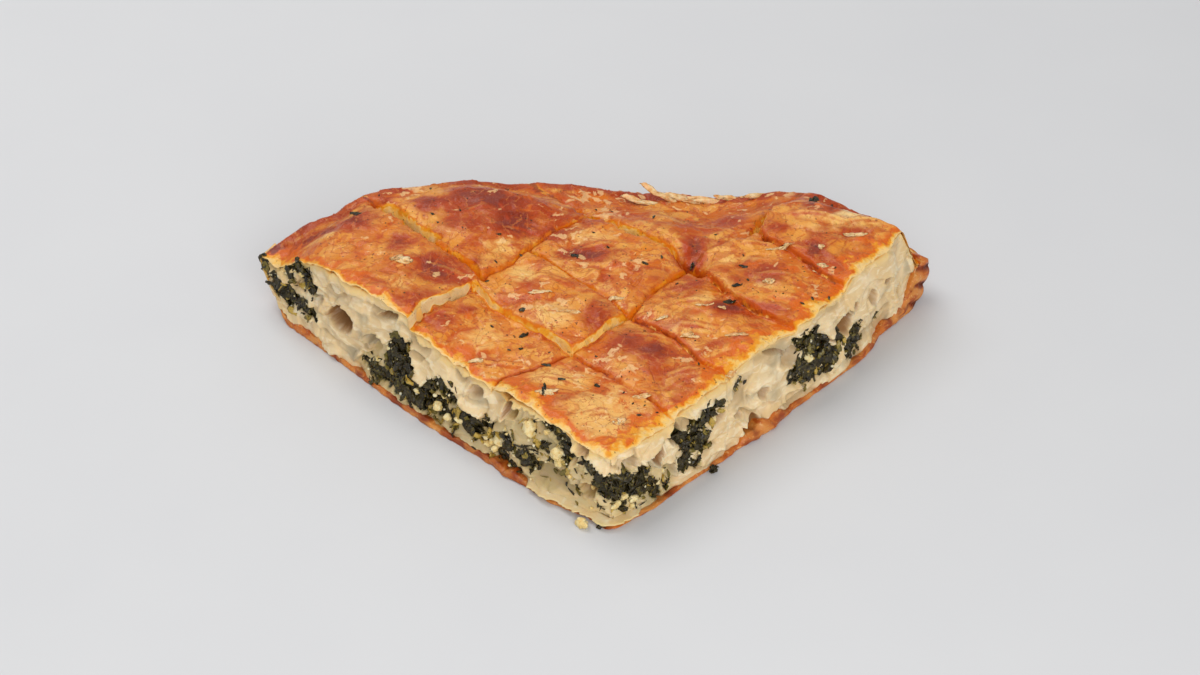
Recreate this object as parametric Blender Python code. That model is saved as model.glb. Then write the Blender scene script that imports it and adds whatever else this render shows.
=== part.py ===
"""A spinach borek: one quarter of a round tray of layered savoury pastry.

The pie was baked in a round tray, scored on top into lozenges and cut in four. This quarter has
two straight cut faces, which meet at the front corner where the middle of the tray was, and a
browned outer side that follows the tray's wall. It is three pieces: the scored pastry lid, the
spinach layer that shows in both cut faces, and the thin bottom pastry with its turned-up rim.

A place in the pie is given by s, the distance along the left cut, t, the distance along the
right cut, both from the front corner, and z, the height over the table. Lengths are in metres.
"""

import math

import bmesh
import bpy
from mathutils import Vector

# The quarter seen from above.
LEFT_CUT_ANGLE = math.radians(133.2)
RIGHT_CUT_ANGLE = math.radians(47.7)
FRONT_CORNER = (0.0050, -0.0840)
FOOT_RADIUS = 0.166
BELLY_HEIGHT = 0.020
TOP_IN = 0.002

# The lid: the two sets of score cuts, and the height of each block between them. A score cut
# is (the way it runs, its place, its start, its end, its width, its depth). The knife
# wandered, so a nudge at (s, t) moves the cuts near it by (ds, dt), within its reach.
S_CUTS = (0.050, 0.100)
T_CUTS = (0.0315, 0.061, 0.094, 0.123)
T_CUT_BEHIND = 0.0385
BLOCK_REACH = 0.20
CUT_WIDTH = 0.0024
SCORE_CUTS = (
    ("t", S_CUTS[0], 0.0, T_CUTS[3], CUT_WIDTH, 0.0028),
    ("t", S_CUTS[0], T_CUTS[3], BLOCK_REACH, 0.0048, 0.0067),
    ("t", S_CUTS[1], 0.0, T_CUTS[2], CUT_WIDTH, 0.0028),
    ("s", T_CUTS[0], 0.0, S_CUTS[1], CUT_WIDTH, 0.0028),
    ("s", T_CUTS[1], 0.0, S_CUTS[1], CUT_WIDTH, 0.0028),
    ("s", T_CUTS[2], 0.0, 0.046, CUT_WIDTH, 0.0028),
    ("s", T_CUTS[2], 0.046, BLOCK_REACH, 0.0048, 0.0073),
    ("s", T_CUTS[3], 0.0, S_CUTS[0], CUT_WIDTH, 0.0028),
    ("s", T_CUT_BEHIND, S_CUTS[1], BLOCK_REACH, 0.0062, 0.0100),
)
BLOCK_HEIGHTS = (
    (0.0290, 0.0295, 0.0305, 0.0330, 0.0350),
    (0.0290, 0.0325, 0.0315, 0.0300, 0.0300),
    (0.0370, 0.0355, 0.0355, 0.0320, 0.0320),
)
NUDGES = ((0.052, 0.0, 0.0075, 0.0, 0.020), (0.068, 0.094, 0.0, 0.0045, 0.015),
          (0.050, 0.124, -0.0045, 0.002, 0.012))
BLOCK_CROWN = 0.0012
BLOCK_CROWN_REACH = 0.005
SLOPE_HASTE = 1.3

# The spinach layer, and the pastry under it.
FILLING_MIDDLE = 0.0115
FILLING_HALF = 0.0055
FILLING_THIN_HALF = 0.0009
FILLING_OVER_SHEET = 0.0008
LID_OVER_FILLING = 0.0055
SKIRT_WIDTH = 0.0034
LID_OVER_RIM = 0.003
BOTTOM_THICKNESS = 0.0016
GAP = 0.0004
HAIR = 0.00005

# How finely the pieces are cut up, and how far the cutters reach past them.
LID_STEP = 0.0062
LINES_OVER_CUT = (-2.2, -0.5, 0, 0.5, 2.2)
FILLING_STEP = 0.0075
ROUND_STEPS = 26
STEPS_PAST = 4
PAST_SIDE = 0.004
PAST_CUT = 0.012
BELOW_LID = -0.001
BELOW_FILLING = -0.002
BELOW_TABLE = -0.004
SIDE_HEIGHTS = (0.0, 0.003, 0.007, 0.013, BELLY_HEIGHT)
HEIGHTS_ABOVE = (0.027, 0.034, 0.050)
SHEET_REACH = 0.93
SHEET_RINGS = 9

LEFT_WAY = Vector((math.cos(LEFT_CUT_ANGLE), math.sin(LEFT_CUT_ANGLE)))
RIGHT_WAY = Vector((math.cos(RIGHT_CUT_ANGLE), math.sin(RIGHT_CUT_ANGLE)))
LEFT_OUT = Vector((-LEFT_WAY.y, LEFT_WAY.x))
RIGHT_OUT = Vector((RIGHT_WAY.y, -RIGHT_WAY.x))

# Round the tray, from the right cut (0) to the left cut (1): how far the side bellies out, how
# high the lid's outer edge is, over what width the lid slopes down to that edge, and how thick
# the turned-up rim of the bottom pastry is.
BELLY_RADIUS = ((0, 0.1735), (0.18, 0.172), (0.33, 0.169), (0.50, 0.168), (0.72, 0.171),
                (0.86, 0.176), (1, 0.1825))
EDGE_HEIGHT = ((0, 0.0155), (0.10, 0.024), (0.18, 0.027), (0.33, 0.0165), (0.43, 0.0175),
               (0.60, 0.026), (0.74, 0.0325), (0.84, 0.0325), (0.92, 0.027), (1, 0.0215))
SLOPE_WIDTH = ((0, 0.013), (0.18, 0.018), (0.33, 0.038), (0.50, 0.036), (0.72, 0.014),
               (0.87, 0.014), (1, 0.036))
RIM_WIDTH = ((0, 0.010), (0.15, 0.005), (0.50, 0.004), (0.90, 0.003), (1, 0.002))

# Where the filling is thick in each cut face: distance from the front corner, height of its
# middle, half its length and half its height.
LEFT_CLUMPS = ((0.004, 0.015, 0.014, 0.007), (0.026, 0.019, 0.012, 0.009),
               (0.040, 0.013, 0.010, 0.011), (0.072, 0.0085, 0.024, 0.006),
               (0.102, 0.013, 0.013, 0.0105), (0.120, 0.009, 0.017, 0.0055),
               (0.167, 0.015, 0.015, 0.0095))
RIGHT_CLUMPS = ((0.004, 0.015, 0.014, 0.007), (0.022, 0.011, 0.013, 0.008),
                (0.042, 0.014, 0.011, 0.010), (0.055, 0.020, 0.009, 0.005),
                (0.105, 0.0125, 0.015, 0.0095), (0.129, 0.006, 0.010, 0.0032),
                (0.145, 0.0065, 0.007, 0.003))
CLUMP_DEPTH = 0.026
CLUMP_FADE = 0.012

# How far each cut face stands out of its straight plane, at the foot and at the top edge.
LEFT_FOOT_OUT = ((0, 0), (0.03, 0.0045), (0.09, 0.0068), (0.155, 0.0040), (0.19, 0.001))
LEFT_TOP_OUT = ((0, -0.0020), (0.012, 0), (0.10, 0), (0.125, 0.0015), (0.18, 0))
RIGHT_FOOT_OUT = ((0, 0), (0.02, 0.003), (0.055, 0.0048), (0.125, 0.0060), (0.148, 0.0015),
                  (0.18, 0))
RIGHT_TOP_OUT = ((0, -0.0020), (0.012, 0), (0.085, 0), (0.10, 0.0038), (0.115, 0.0024),
                 (0.145, 0.0007), (0.165, -0.0030))
CRUST_OUT = 0.0024
CRUST_OUT_HEIGHT = 0.002
LEAN_DEPTH = 0.020
LEAN_HEIGHT = 0.030

COLOURS = {
    "pastry_top": ((0.72, 0.30, 0.09), 0.35),
    "spinach_filling": ((0.05, 0.06, 0.025), 0.55),
    "pastry_bottom": ((0.55, 0.27, 0.11), 0.6),
}


def through(stops, x):
    """A value at x that eases from one (x, value) stop to the next."""
    if x <= stops[0][0]:
        return stops[0][1]
    for (x0, v0), (x1, v1) in zip(stops, stops[1:]):
        if x <= x1:
            f = (x - x0) / (x1 - x0)
            return v0 + (v1 - v0) * f * f * (3 - 2 * f)
    return stops[-1][1]


def ease(x):
    x = min(max(x, 0.0), 1.0)
    return x * x * (3 - 2 * x)


def plan(s, t):
    """The place on the table of (s, t), from the tray's middle."""
    return s * LEFT_WAY + t * RIGHT_WAY


def nudged(s, t):
    """Where (s, t) lands once the wandering of the knife is taken in."""
    moved_s, moved_t = s, t
    for at_s, at_t, by_s, by_t, reach in NUDGES:
        share = math.exp(-((s - at_s) ** 2 + (t - at_t) ** 2) / reach ** 2)
        moved_s += by_s * share
        moved_t += by_t * share
    return moved_s, moved_t


def skew(x, y):
    """The (s, t) of a place on the table: plan() the other way round."""
    area = LEFT_WAY.x * RIGHT_WAY.y - LEFT_WAY.y * RIGHT_WAY.x
    s = (x * RIGHT_WAY.y - y * RIGHT_WAY.x) / area
    t = (LEFT_WAY.x * y - LEFT_WAY.y * x) / area
    return s, t


def turn_of(x, y):
    """0 at the right cut to 1 at the left cut."""
    return (math.atan2(y, x) - RIGHT_CUT_ANGLE) / (LEFT_CUT_ANGLE - RIGHT_CUT_ANGLE)


def side_radius(turn, z):
    """The tray side: in at the foot, out at the belly, and a little in again at the top."""
    belly = through(BELLY_RADIUS, turn)
    if z < BELLY_HEIGHT:
        rise = math.sin(max(z, 0) / BELLY_HEIGHT * math.pi / 2)
        return FOOT_RADIUS + (belly - FOOT_RADIUS) * rise
    above = (z - BELLY_HEIGHT) / BELLY_HEIGHT
    return belly - TOP_IN * min(above, 1.0) ** 2


def block_height(s, t):
    """The flat height of the block that holds (s, t)."""
    row = sum(s > cut for cut in S_CUTS)
    if row == 2:
        column = 0 if t < T_CUT_BEHIND else (1 if t < T_CUTS[2] else 3)
    else:
        column = sum(t > cut for cut in T_CUTS)
    return BLOCK_HEIGHTS[row][column]


def lid_height(s, t):
    """The top of the lid: blocks with rounded edges, score cuts, and the slope to the rim."""
    z = block_height(s, t)
    for way, place, start, end, width, depth in SCORE_CUTS:
        across, along = (s - place, t) if way == "t" else (t - place, s)
        if start <= along <= end:
            away = abs(across)
            z -= depth * max(0.0, 1 - away / (width / 2))
            z -= BLOCK_CROWN * math.exp(-away / BLOCK_CROWN_REACH)
    place = plan(s, t)
    turn = min(max(turn_of(place.x, place.y), 0), 1)
    edge = through(EDGE_HEIGHT, turn)
    width = through(SLOPE_WIDTH, turn)
    inside = side_radius(turn, edge) - place.length
    return z + (edge - z) * ease(SLOPE_HASTE * (1 - inside / width))


def clump_bounds(clumps, along):
    """The filling's lower and upper face in a cut face."""
    nearest = min(clumps, key=lambda c: max(0, abs(along - c[0]) - c[2]))
    away = max(0, abs(along - nearest[0]) - nearest[2])
    middle = nearest[1] + (FILLING_MIDDLE - nearest[1]) * ease(away / CLUMP_FADE)
    low = middle - FILLING_THIN_HALF
    high = middle + FILLING_THIN_HALF
    for place, height, half_length, half_height in clumps:
        reach = abs(along - place) / half_length
        if reach < 1:
            swell = half_height * (1 - reach ** 2) ** 0.5
            low = min(low, height - swell)
            high = max(high, height + swell)
    return low, high


def filling_bounds(s, t):
    """The filling's lower and upper face: clumps at the cuts, an even layer further in."""
    near_left = math.exp(-(max(t, 0) / CLUMP_DEPTH) ** 2)
    near_right = math.exp(-(max(s, 0) / CLUMP_DEPTH) ** 2)
    inner = (1 - near_left) * (1 - near_right)
    left = clump_bounds(LEFT_CLUMPS, s)
    right = clump_bounds(RIGHT_CLUMPS, t)
    total = near_left + near_right + inner
    low = near_left * left[0] + near_right * right[0] + inner * (FILLING_MIDDLE - FILLING_HALF)
    high = near_left * left[1] + near_right * right[1] + inner * (FILLING_MIDDLE + FILLING_HALF)
    ceiling = lid_height(s, t) - LID_OVER_FILLING
    floor = BOTTOM_THICKNESS + GAP + FILLING_OVER_SHEET
    high = min(high / total, ceiling)
    low = max(min(low / total, high - 2 * FILLING_THIN_HALF), floor)
    return low, max(high, low + FILLING_THIN_HALF)


def lean(x, y, z, more):
    """Moves a point by the bulge of the cut face that it is near, and near the table, away
    from the front corner, by so much more."""
    more *= 1 - ease(z / CRUST_OUT_HEIGHT - 1)
    s, t = skew(x, y)
    height = min(max(z / LEAN_HEIGHT, 0.0), 1.0)
    left = through(LEFT_FOOT_OUT, s) * (1 - height) + through(LEFT_TOP_OUT, s) * height
    right = through(RIGHT_FOOT_OUT, t) * (1 - height) + through(RIGHT_TOP_OUT, t) * height
    left = (left + more * ease(s / LEAN_DEPTH)) * (1 - ease(t / LEAN_DEPTH))
    right = (right + more * ease(t / LEAN_DEPTH)) * (1 - ease(s / LEAN_DEPTH))
    moved = Vector((x, y)) + left * LEFT_OUT + right * RIGHT_OUT
    return moved.x, moved.y, z


def lines(start, end, cuts, width, step):
    """Grid lines from start to end: five across each cut, and even ones between the cuts."""
    fixed = {start, end}
    for cut in cuts:
        fixed.update(cut + k * width for k in LINES_OVER_CUT)
    fixed = sorted(fixed)
    found = []
    for a, b in zip(fixed, fixed[1:]):
        count = max(1, round((b - a) / step))
        found.extend(a + (b - a) * k / count for k in range(count))
    return found + [fixed[-1]]


def layer(name, s_lines, t_lines, low, high, nudge=False):
    """A closed slab over the (s, t) grid, between the heights low(s, t) and high(s, t)."""
    bm = bmesh.new()
    across, along = len(s_lines) - 1, len(t_lines) - 1
    bmesh.ops.create_grid(bm, x_segments=across, y_segments=along, size=1)
    grown = bmesh.ops.extrude_face_region(bm, geom=list(bm.faces))
    lower = {item for item in grown["geom"] if isinstance(item, bmesh.types.BMVert)}
    for vert in bm.verts:
        s = s_lines[round((vert.co.x + 1) / 2 * across)]
        t = t_lines[round((vert.co.y + 1) / 2 * along)]
        place = plan(*nudged(s, t)) if nudge else plan(s, t)
        vert.co = (place.x, place.y, low(s, t) if vert in lower else high(s, t))
    return finish(bm, name)


def turned(name, profile, start, end, steps, shift):
    """A closed wedge: a profile of (radius, height) points turned about the tray's middle."""
    bm = bmesh.new()
    verts = [bm.verts.new((r * math.cos(start), r * math.sin(start), z)) for r, z in profile]
    face = bm.faces.new(verts)
    bmesh.ops.spin(bm, geom=[face] + list(face.edges) + verts, cent=(0, 0, 0), axis=(0, 0, 1),
                   angle=end - start, steps=steps, use_duplicate=False)
    bmesh.ops.remove_doubles(bm, verts=bm.verts, dist=HAIR)
    for vert in bm.verts:
        radius = math.hypot(vert.co.x, vert.co.y)
        if radius > 0:
            turn = min(max(turn_of(vert.co.x, vert.co.y), 0), 1)
            grown, height = shift(turn, radius, vert.co.z)
            vert.co = (vert.co.x * grown / radius, vert.co.y * grown / radius, height)
    return finish(bm, name)


def finish(bm, name):
    """Makes an object of flat triangles that face outwards."""
    bmesh.ops.triangulate(bm, faces=bm.faces)
    bmesh.ops.recalc_face_normals(bm, faces=bm.faces)
    if bm.calc_volume(signed=True) < 0:
        bmesh.ops.reverse_faces(bm, faces=bm.faces)
    mesh = bpy.data.meshes.new(name)
    bm.to_mesh(mesh)
    bm.free()
    return bpy.data.objects.new(name, mesh)


def wedge_turn(steps_past):
    """Where a wedge starts and ends, and its steps, for so many steps past both cuts."""
    step = (LEFT_CUT_ANGLE - RIGHT_CUT_ANGLE) / ROUND_STEPS
    past = steps_past * step
    return RIGHT_CUT_ANGLE - past, LEFT_CUT_ANGLE + past, ROUND_STEPS + 2 * steps_past


def round_body(name, inset):
    """Everything inside the tray's wall, less the margin inset(turn), past both cuts."""
    heights = (BELOW_TABLE, *SIDE_HEIGHTS, *HEIGHTS_ABOVE)
    profile = [(0, heights[0])] + [(FOOT_RADIUS, z) for z in heights] + [(0, heights[-1])]
    return turned(name, profile, *wedge_turn(STEPS_PAST),
                  lambda turn, radius, z: (side_radius(turn, z) - inset(turn), z))


def bottom_piece(name, grow, steps_past):
    """The bottom pastry: a thin round sheet whose edge turns up against the tray's wall."""
    rings = [FOOT_RADIUS * SHEET_REACH * k / SHEET_RINGS for k in range(SHEET_RINGS + 1)]
    foot = BELOW_TABLE if grow else 0.0
    sheet_top = BOTTOM_THICKNESS + grow
    inner_radius = FOOT_RADIUS - RIM_WIDTH[-1][1]
    profile = [(r, foot) for r in rings]
    profile += [(FOOT_RADIUS, z) for z in (foot, *SIDE_HEIGHTS[1:-1], BELLY_HEIGHT + grow)]
    profile += [(inner_radius, z) for z in (BELLY_HEIGHT + grow, *SIDE_HEIGHTS[-2:0:-1])]
    profile += [(r, sheet_top) for r in reversed(rings)]

    def place(turn, radius, z):
        if radius < (rings[-1] + inner_radius) / 2:
            return radius, z
        height = z
        if z > sheet_top:
            share = (z - sheet_top) / (BELLY_HEIGHT - sheet_top)
            height = sheet_top + (rim_height(turn) - sheet_top) * share
        side = side_radius(turn, height)
        if radius < (inner_radius + FOOT_RADIUS) / 2:
            return side - through(RIM_WIDTH, turn) - grow, height
        return side + (PAST_SIDE if grow else 0), height

    return turned(name, profile, *wedge_turn(steps_past), place)


def rim_height(turn):
    """How far up the tray's wall the bottom pastry turns, under the lid's edge."""
    return min(BELLY_HEIGHT, through(EDGE_HEIGHT, turn) - LID_OVER_RIM)


def filling_inset(turn):
    """How far inside the tray's wall the filling ends: the rim and the lid's skirt are between."""
    return through(RIM_WIDTH, turn) + SKIRT_WIDTH


def clean(bm):
    """Joins points closer than a hair's width, and leaves flat triangles."""
    bmesh.ops.remove_doubles(bm, verts=bm.verts, dist=HAIR)
    bmesh.ops.dissolve_degenerate(bm, dist=HAIR, edges=bm.edges)
    bmesh.ops.triangulate(bm, faces=bm.faces)


def boolean(target, cutter, operation):
    """Cuts or joins target by cutter for good."""
    modifier = target.modifiers.new(cutter.name, "BOOLEAN")
    modifier.operation = operation
    modifier.solver = "EXACT"
    modifier.object = cutter
    bpy.context.view_layer.update()
    graph = bpy.context.evaluated_depsgraph_get()
    mesh = bpy.data.meshes.new_from_object(target.evaluated_get(graph))
    target.modifiers.clear()
    bm = bmesh.new()
    bm.from_mesh(mesh)
    clean(bm)
    bm.to_mesh(mesh)
    bm.free()
    target.data = mesh


def settle(thing):
    """Gives the straight cut faces their bulge, and puts the front corner in its place."""
    bm = bmesh.new()
    bm.from_mesh(thing.data)
    clean(bm)
    more = CRUST_OUT if thing.name == "pastry_bottom" else 0
    for vert in bm.verts:
        x, y, z = lean(*vert.co, more)
        vert.co = (x + FRONT_CORNER[0], y + FRONT_CORNER[1], z)
    bm.to_mesh(thing.data)
    bm.free()


def paint(thing):
    colour, roughness = COLOURS[thing.name]
    material = bpy.data.materials.new(thing.name)
    material.use_nodes = True
    shader = material.node_tree.nodes["Principled BSDF"]
    shader.inputs["Base Color"].default_value = (*colour, 1)
    shader.inputs["Roughness"].default_value = roughness
    shader.inputs["Metallic"].default_value = 0
    thing.data.materials.clear()
    thing.data.materials.append(material)


def main():
    for old in list(bpy.data.objects):
        bpy.data.objects.remove(old, do_unlink=True)
    borek = bpy.data.collections.new("spinach_borek")
    cutters = bpy.data.collections.new("cutters")
    for group in (borek, cutters):
        bpy.context.scene.collection.children.link(group)

    lid_s = lines(0, BLOCK_REACH, S_CUTS, CUT_WIDTH, LID_STEP)
    lid_t = lines(0, BLOCK_REACH, (*T_CUTS, T_CUT_BEHIND), CUT_WIDTH, LID_STEP)
    fill = lines(0, BLOCK_REACH, (), 0, FILLING_STEP)
    fill_past = [-PAST_CUT] + fill

    lid = layer("pastry_top", lid_s, lid_t, lambda s, t: BELOW_LID, lid_height, nudge=True)
    filling = layer("spinach_filling", fill, fill,
                    lambda s, t: filling_bounds(s, t)[0], lambda s, t: filling_bounds(s, t)[1])
    bottom = bottom_piece("pastry_bottom", 0, 0)

    # The lid comes down round the filling to the bottom sheet, so what it is cut with is the
    # room that the two pieces take, and a small gap.
    filling_room = layer("filling_room", fill_past, fill_past,
                         lambda s, t: BELOW_FILLING, lambda s, t: filling_bounds(s, t)[1] + GAP)
    bottom_room = bottom_piece("bottom_room", GAP, STEPS_PAST)
    under_filling = layer("under_filling", fill, fill, lambda s, t: BOTTOM_THICKNESS / 2,
                          lambda s, t: filling_bounds(s, t)[0] - GAP)
    tray_room = round_body("tray_room", lambda turn: 0)
    filling_side = round_body("filling_side", filling_inset)
    filling_side_room = round_body("filling_side_room", lambda turn: filling_inset(turn) - GAP)

    for thing in (lid, filling, bottom):
        borek.objects.link(thing)
    for cutter in (filling_room, bottom_room, under_filling, tray_room, filling_side,
                   filling_side_room):
        cutters.objects.link(cutter)
        cutter.hide_render = True
        cutter.display_type = "WIRE"

    boolean(filling_room, filling_side_room, "INTERSECT")
    boolean(filling, filling_side, "INTERSECT")
    boolean(under_filling, filling_side, "INTERSECT")
    boolean(bottom, under_filling, "UNION")
    boolean(lid, tray_room, "INTERSECT")
    boolean(lid, bottom_room, "DIFFERENCE")
    boolean(lid, filling_room, "DIFFERENCE")
    for thing in (lid, filling, bottom):
        settle(thing)
        paint(thing)


main()
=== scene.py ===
"""A quarter of a round tray of spinach borek, from its lid down to the crust that it lies on.

Lengths are in millimetres until the last step of each piece, which turns them to metres. A place
in the pie is s along the left cut and t along the right cut, both from the front corner.
"""

import math
import random

import bmesh
import bpy
import numpy as np
from mathutils import Matrix, Vector, noise


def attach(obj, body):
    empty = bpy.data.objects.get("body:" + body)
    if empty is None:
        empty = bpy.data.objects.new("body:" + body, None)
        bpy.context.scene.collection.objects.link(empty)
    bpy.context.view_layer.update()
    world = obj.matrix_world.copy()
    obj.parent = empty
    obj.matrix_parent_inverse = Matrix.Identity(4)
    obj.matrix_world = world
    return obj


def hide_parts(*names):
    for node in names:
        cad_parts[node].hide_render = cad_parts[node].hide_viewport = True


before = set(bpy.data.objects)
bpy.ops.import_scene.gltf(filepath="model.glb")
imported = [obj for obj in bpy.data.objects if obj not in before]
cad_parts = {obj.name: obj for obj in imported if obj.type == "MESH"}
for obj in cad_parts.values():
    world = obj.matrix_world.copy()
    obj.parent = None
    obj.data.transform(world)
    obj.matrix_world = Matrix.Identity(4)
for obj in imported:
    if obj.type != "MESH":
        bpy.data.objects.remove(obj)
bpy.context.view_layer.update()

# The baked lid: many sheets of filo, brushed with egg, scored into lozenges with a knife and
# baked until the top sheets blistered and browned. It is one skin that rounds over the edge of
# the pie and tucks in behind the rim. Its blocks baked to different heights.
MM = 0.001
# The way that each cut runs from the front corner, and the way that its face looks.
LEFT_CUT = math.radians(133.2)
RIGHT_CUT = math.radians(47.7)
LEFT_WAY = np.array((math.cos(LEFT_CUT), math.sin(LEFT_CUT)))
RIGHT_WAY = np.array((math.cos(RIGHT_CUT), math.sin(RIGHT_CUT)))
LEFT_OUT = np.array((-LEFT_WAY[1], LEFT_WAY[0]))
RIGHT_OUT = np.array((RIGHT_WAY[1], -RIGHT_WAY[0]))
FRONT_CORNER = np.array((5.0, -84.0))


def ease(x):
    x = np.clip(x, 0, 1)
    return x * x * (3 - 2 * x)


def through(stops, x):
    """A value at x that eases from one (x, value) stop to the next."""
    places = np.array([stop[0] for stop in stops], float)
    values = np.array([stop[1] for stop in stops], float)
    x = np.clip(x, places[0], places[-1])
    i = np.clip(np.searchsorted(places, x, side="right") - 1, 0, len(stops) - 2)
    share = ease((x - places[i]) / (places[i + 1] - places[i]))
    return values[i] + (values[i + 1] - values[i]) * share


def level(x, y=0):
    """Places in a flat plane, for the random heights over them."""
    return np.stack((x, y + 0 * x, 0 * x), 1)


def rough(points, size, shift=0.0, octaves=1):
    """Soft random heights from about -1 to 1, in lumps of that many millimetres. Each shift gives
    another pattern."""
    total, weight = 0, 1
    for k in range(octaves):
        scaled = points * 2 ** k / np.array(size) + (shift + 17.3 * k)
        total = total + weight * np.array([noise.noise(p) for p in scaled.tolist()])
        weight /= 2
    return total * 1.4


def mound(s, t, at_s, at_t, reach):
    """1 at a place, falling away to 0 within about twice the reach."""
    return np.exp(-((s - at_s) ** 2 + (t - at_t) ** 2) / reach ** 2)


def plan(s, t):
    """x and y from the front corner of a place that is s and t along the cuts."""
    return s * LEFT_WAY[0] + t * RIGHT_WAY[0], s * LEFT_WAY[1] + t * RIGHT_WAY[1]


def unplan(x, y):
    """s and t of a place that is x and y from the front corner."""
    area = LEFT_WAY[0] * RIGHT_WAY[1] - LEFT_WAY[1] * RIGHT_WAY[0]
    return (x * RIGHT_WAY[1] - y * RIGHT_WAY[0]) / area, (LEFT_WAY[0] * y - LEFT_WAY[1] * x) / area


# The outer side, from the right cut (0) to the left one (1): its radius at the foot and at the
# belly, and how high that is.
FOOT_RADIUS = 166
BELLY_HEIGHT = 20
BELLY_RADIUS = (
    (0, 173.5), (0.18, 172), (0.33, 169), (0.5, 168), (0.72, 171), (0.86, 176), (1, 182.5))


def turn_of(x, y):
    """0 at the right cut to 1 at the left cut."""
    return np.clip((np.arctan2(y, x) - RIGHT_CUT) / (LEFT_CUT - RIGHT_CUT), 0, 1)


def side_radius(turn, z):
    belly = through(BELLY_RADIUS, turn)
    rise = np.sin(np.clip(z, 0, BELLY_HEIGHT) / BELLY_HEIGHT * math.pi / 2)
    above = np.clip((z - BELLY_HEIGHT) / BELLY_HEIGHT, 0, 1)
    return FOOT_RADIUS + (belly - FOOT_RADIUS) * rise - 2 * above ** 2


# The knife wandered: near (s, t) the cuts move by (ds, dt), within a reach.
NUDGES = ((52, 0, 7.5, 0, 20), (68, 94, 0, 4.5, 15), (50, 124, -4.5, 2, 12))


def nudged(s, t):
    moved_s, moved_t = s.copy(), t.copy()
    for at_s, at_t, by_s, by_t, reach in NUDGES:
        share = mound(s, t, at_s, at_t, reach)
        moved_s = moved_s + by_s * share
        moved_t = moved_t + by_t * share
    return moved_s, moved_t


# Where the score cuts run, how high the blocks between them stand in the front, middle and back
# rows, and over how many millimetres one block steps to the next.
S_CUTS = (50, 100)
T_CUTS = (31.5, 61, 94, 123)
T_CUT_BEHIND = 38.5
BLOCK_HEIGHTS = (
    (29.0, 29.5, 30.5, 33.0, 35.0), (29.2, 31.9, 31.3, 30.0, 30.0), (36.4, 35.5, 32.0))
STEP_OVER = 2.8
# Where the blocks of each row rose or sank: s, t, how far, what reach.
SWELLS = (
    ((24, 76, 0.8, 14), (34, 2, 2.4, 15), (26, 14, 0.6, 12), (30, 145, 1.0, 14), (26, 46, 0.5, 9),
     (47, 97, -2.6, 4)),
    ((98, 2, 3.0, 20), (96, 22, 1.6, 12), (74, 46, 0.8, 12), (72, 78, 0.6, 12), (88, 124, -0.8, 16),
     (53, 97, -3.0, 4.5)),
    ((110, 6, 1.2, 14), (104, 30, -2.6, 12), (103, 50, -2.0, 11), (103, 66, -2.8, 12),
     (103, 84, -3.2, 12), (152, 4, -1.6, 13), (163, 6, 2.4, 9), (174, 5, 5.0, 9),
     (126, 20, 0.8, 16), (128, 66, 1.2, 18)))


def stepped(along, cuts, heights):
    """Heights that step from one to the next at the cuts, over the width of the knife."""
    z = heights[0] + 0 * along
    for cut, low, high in zip(cuts, heights, heights[1:]):
        z = z + (high - low) * ease((along - cut) / STEP_OVER + 0.5)
    return z


def block_height(s, t):
    columns = (T_CUTS, T_CUTS, (T_CUT_BEHIND, T_CUTS[2]))
    flat = level(s, t)
    torn_s = s + (0.7 * rough(flat, 3.5, 81.0) + 0.6 * rough(flat, 9, 83.0)) * ease(t / 4)
    torn_t = t + (0.7 * rough(flat, 3.5, 85.0) + 0.6 * rough(flat, 9, 87.0)) * ease(s / 4)
    rows = []
    for cuts, heights, swells in zip(columns, BLOCK_HEIGHTS, SWELLS):
        z = stepped(torn_t, cuts, heights)
        for at_s, at_t, height, reach in swells:
            z = z + height * mound(s, t, at_s, at_t, reach)
        rows.append(z)
    past_first = ease((torn_s - S_CUTS[0]) / STEP_OVER + 0.5)
    past_second = ease((torn_s - S_CUTS[1]) / STEP_OVER + 0.5)
    middle = rows[1] * past_first * (1 - past_second)
    return rows[0] * (1 - past_first) + middle + rows[2] * past_second


# Each score cut: the way it runs, its place, start and end, its half width and depth, and how
# much of the pale dough shows in its sides. Shallow ones come and go.
SCORE_CUTS = (
    ("t", 50, -9, 31, 0.8, 1.1, 0), ("t", 50, 31, 61, 1.3, 1.8, 1),
    ("t", 50, 61, 123, 1.2, 1.8, 0.5), ("t", 50, 123, 210, 2.8, 6.4, 1.1),
    ("t", 100, -9, 30, 1.3, 2.2, 1.5), ("t", 100, 36, 94, 1, 1.3, 0.45),
    ("s", 31.5, -9, 50, 0.8, 1, 0.2), ("s", 31.5, 50, 100, 1.4, 1.9, 1.1),
    ("s", 61, -9, 50, 0.8, 1.1, 0), ("s", 61, 50, 100, 1.1, 1.6, 0.5),
    ("s", 94, -9, 46, 0.8, 1.2, 0.1), ("s", 94, 44, 60, 2.4, 5, 0.1),
    ("s", 94, 60, 76, 2.2, 4.6, 0.8), ("s", 94, 76, 210, 3.4, 7.3, 1.2),
    ("s", 123, -9, 50, 0.8, 1.2, 0), ("s", 36.5, 99, 126, 2.2, 3.4, 0.6),
    ("s", 38.5, 126, 210, 3.4, 8.6, 1.2))
SHALLOW = 2
# How high the lid's outer edge stands, and over what width the lid slopes down to it.
EDGE_HEIGHT = (
    (0, 15.5), (0.1, 26), (0.18, 29), (0.33, 20.5), (0.43, 21), (0.6, 27), (0.74, 33),
    (0.84, 34.5), (0.92, 29), (1, 21.5))
SLOPE_WIDTH = ((0, 13), (0.18, 18), (0.33, 38), (0.5, 36), (0.72, 14), (0.87, 14), (1, 36))


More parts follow.
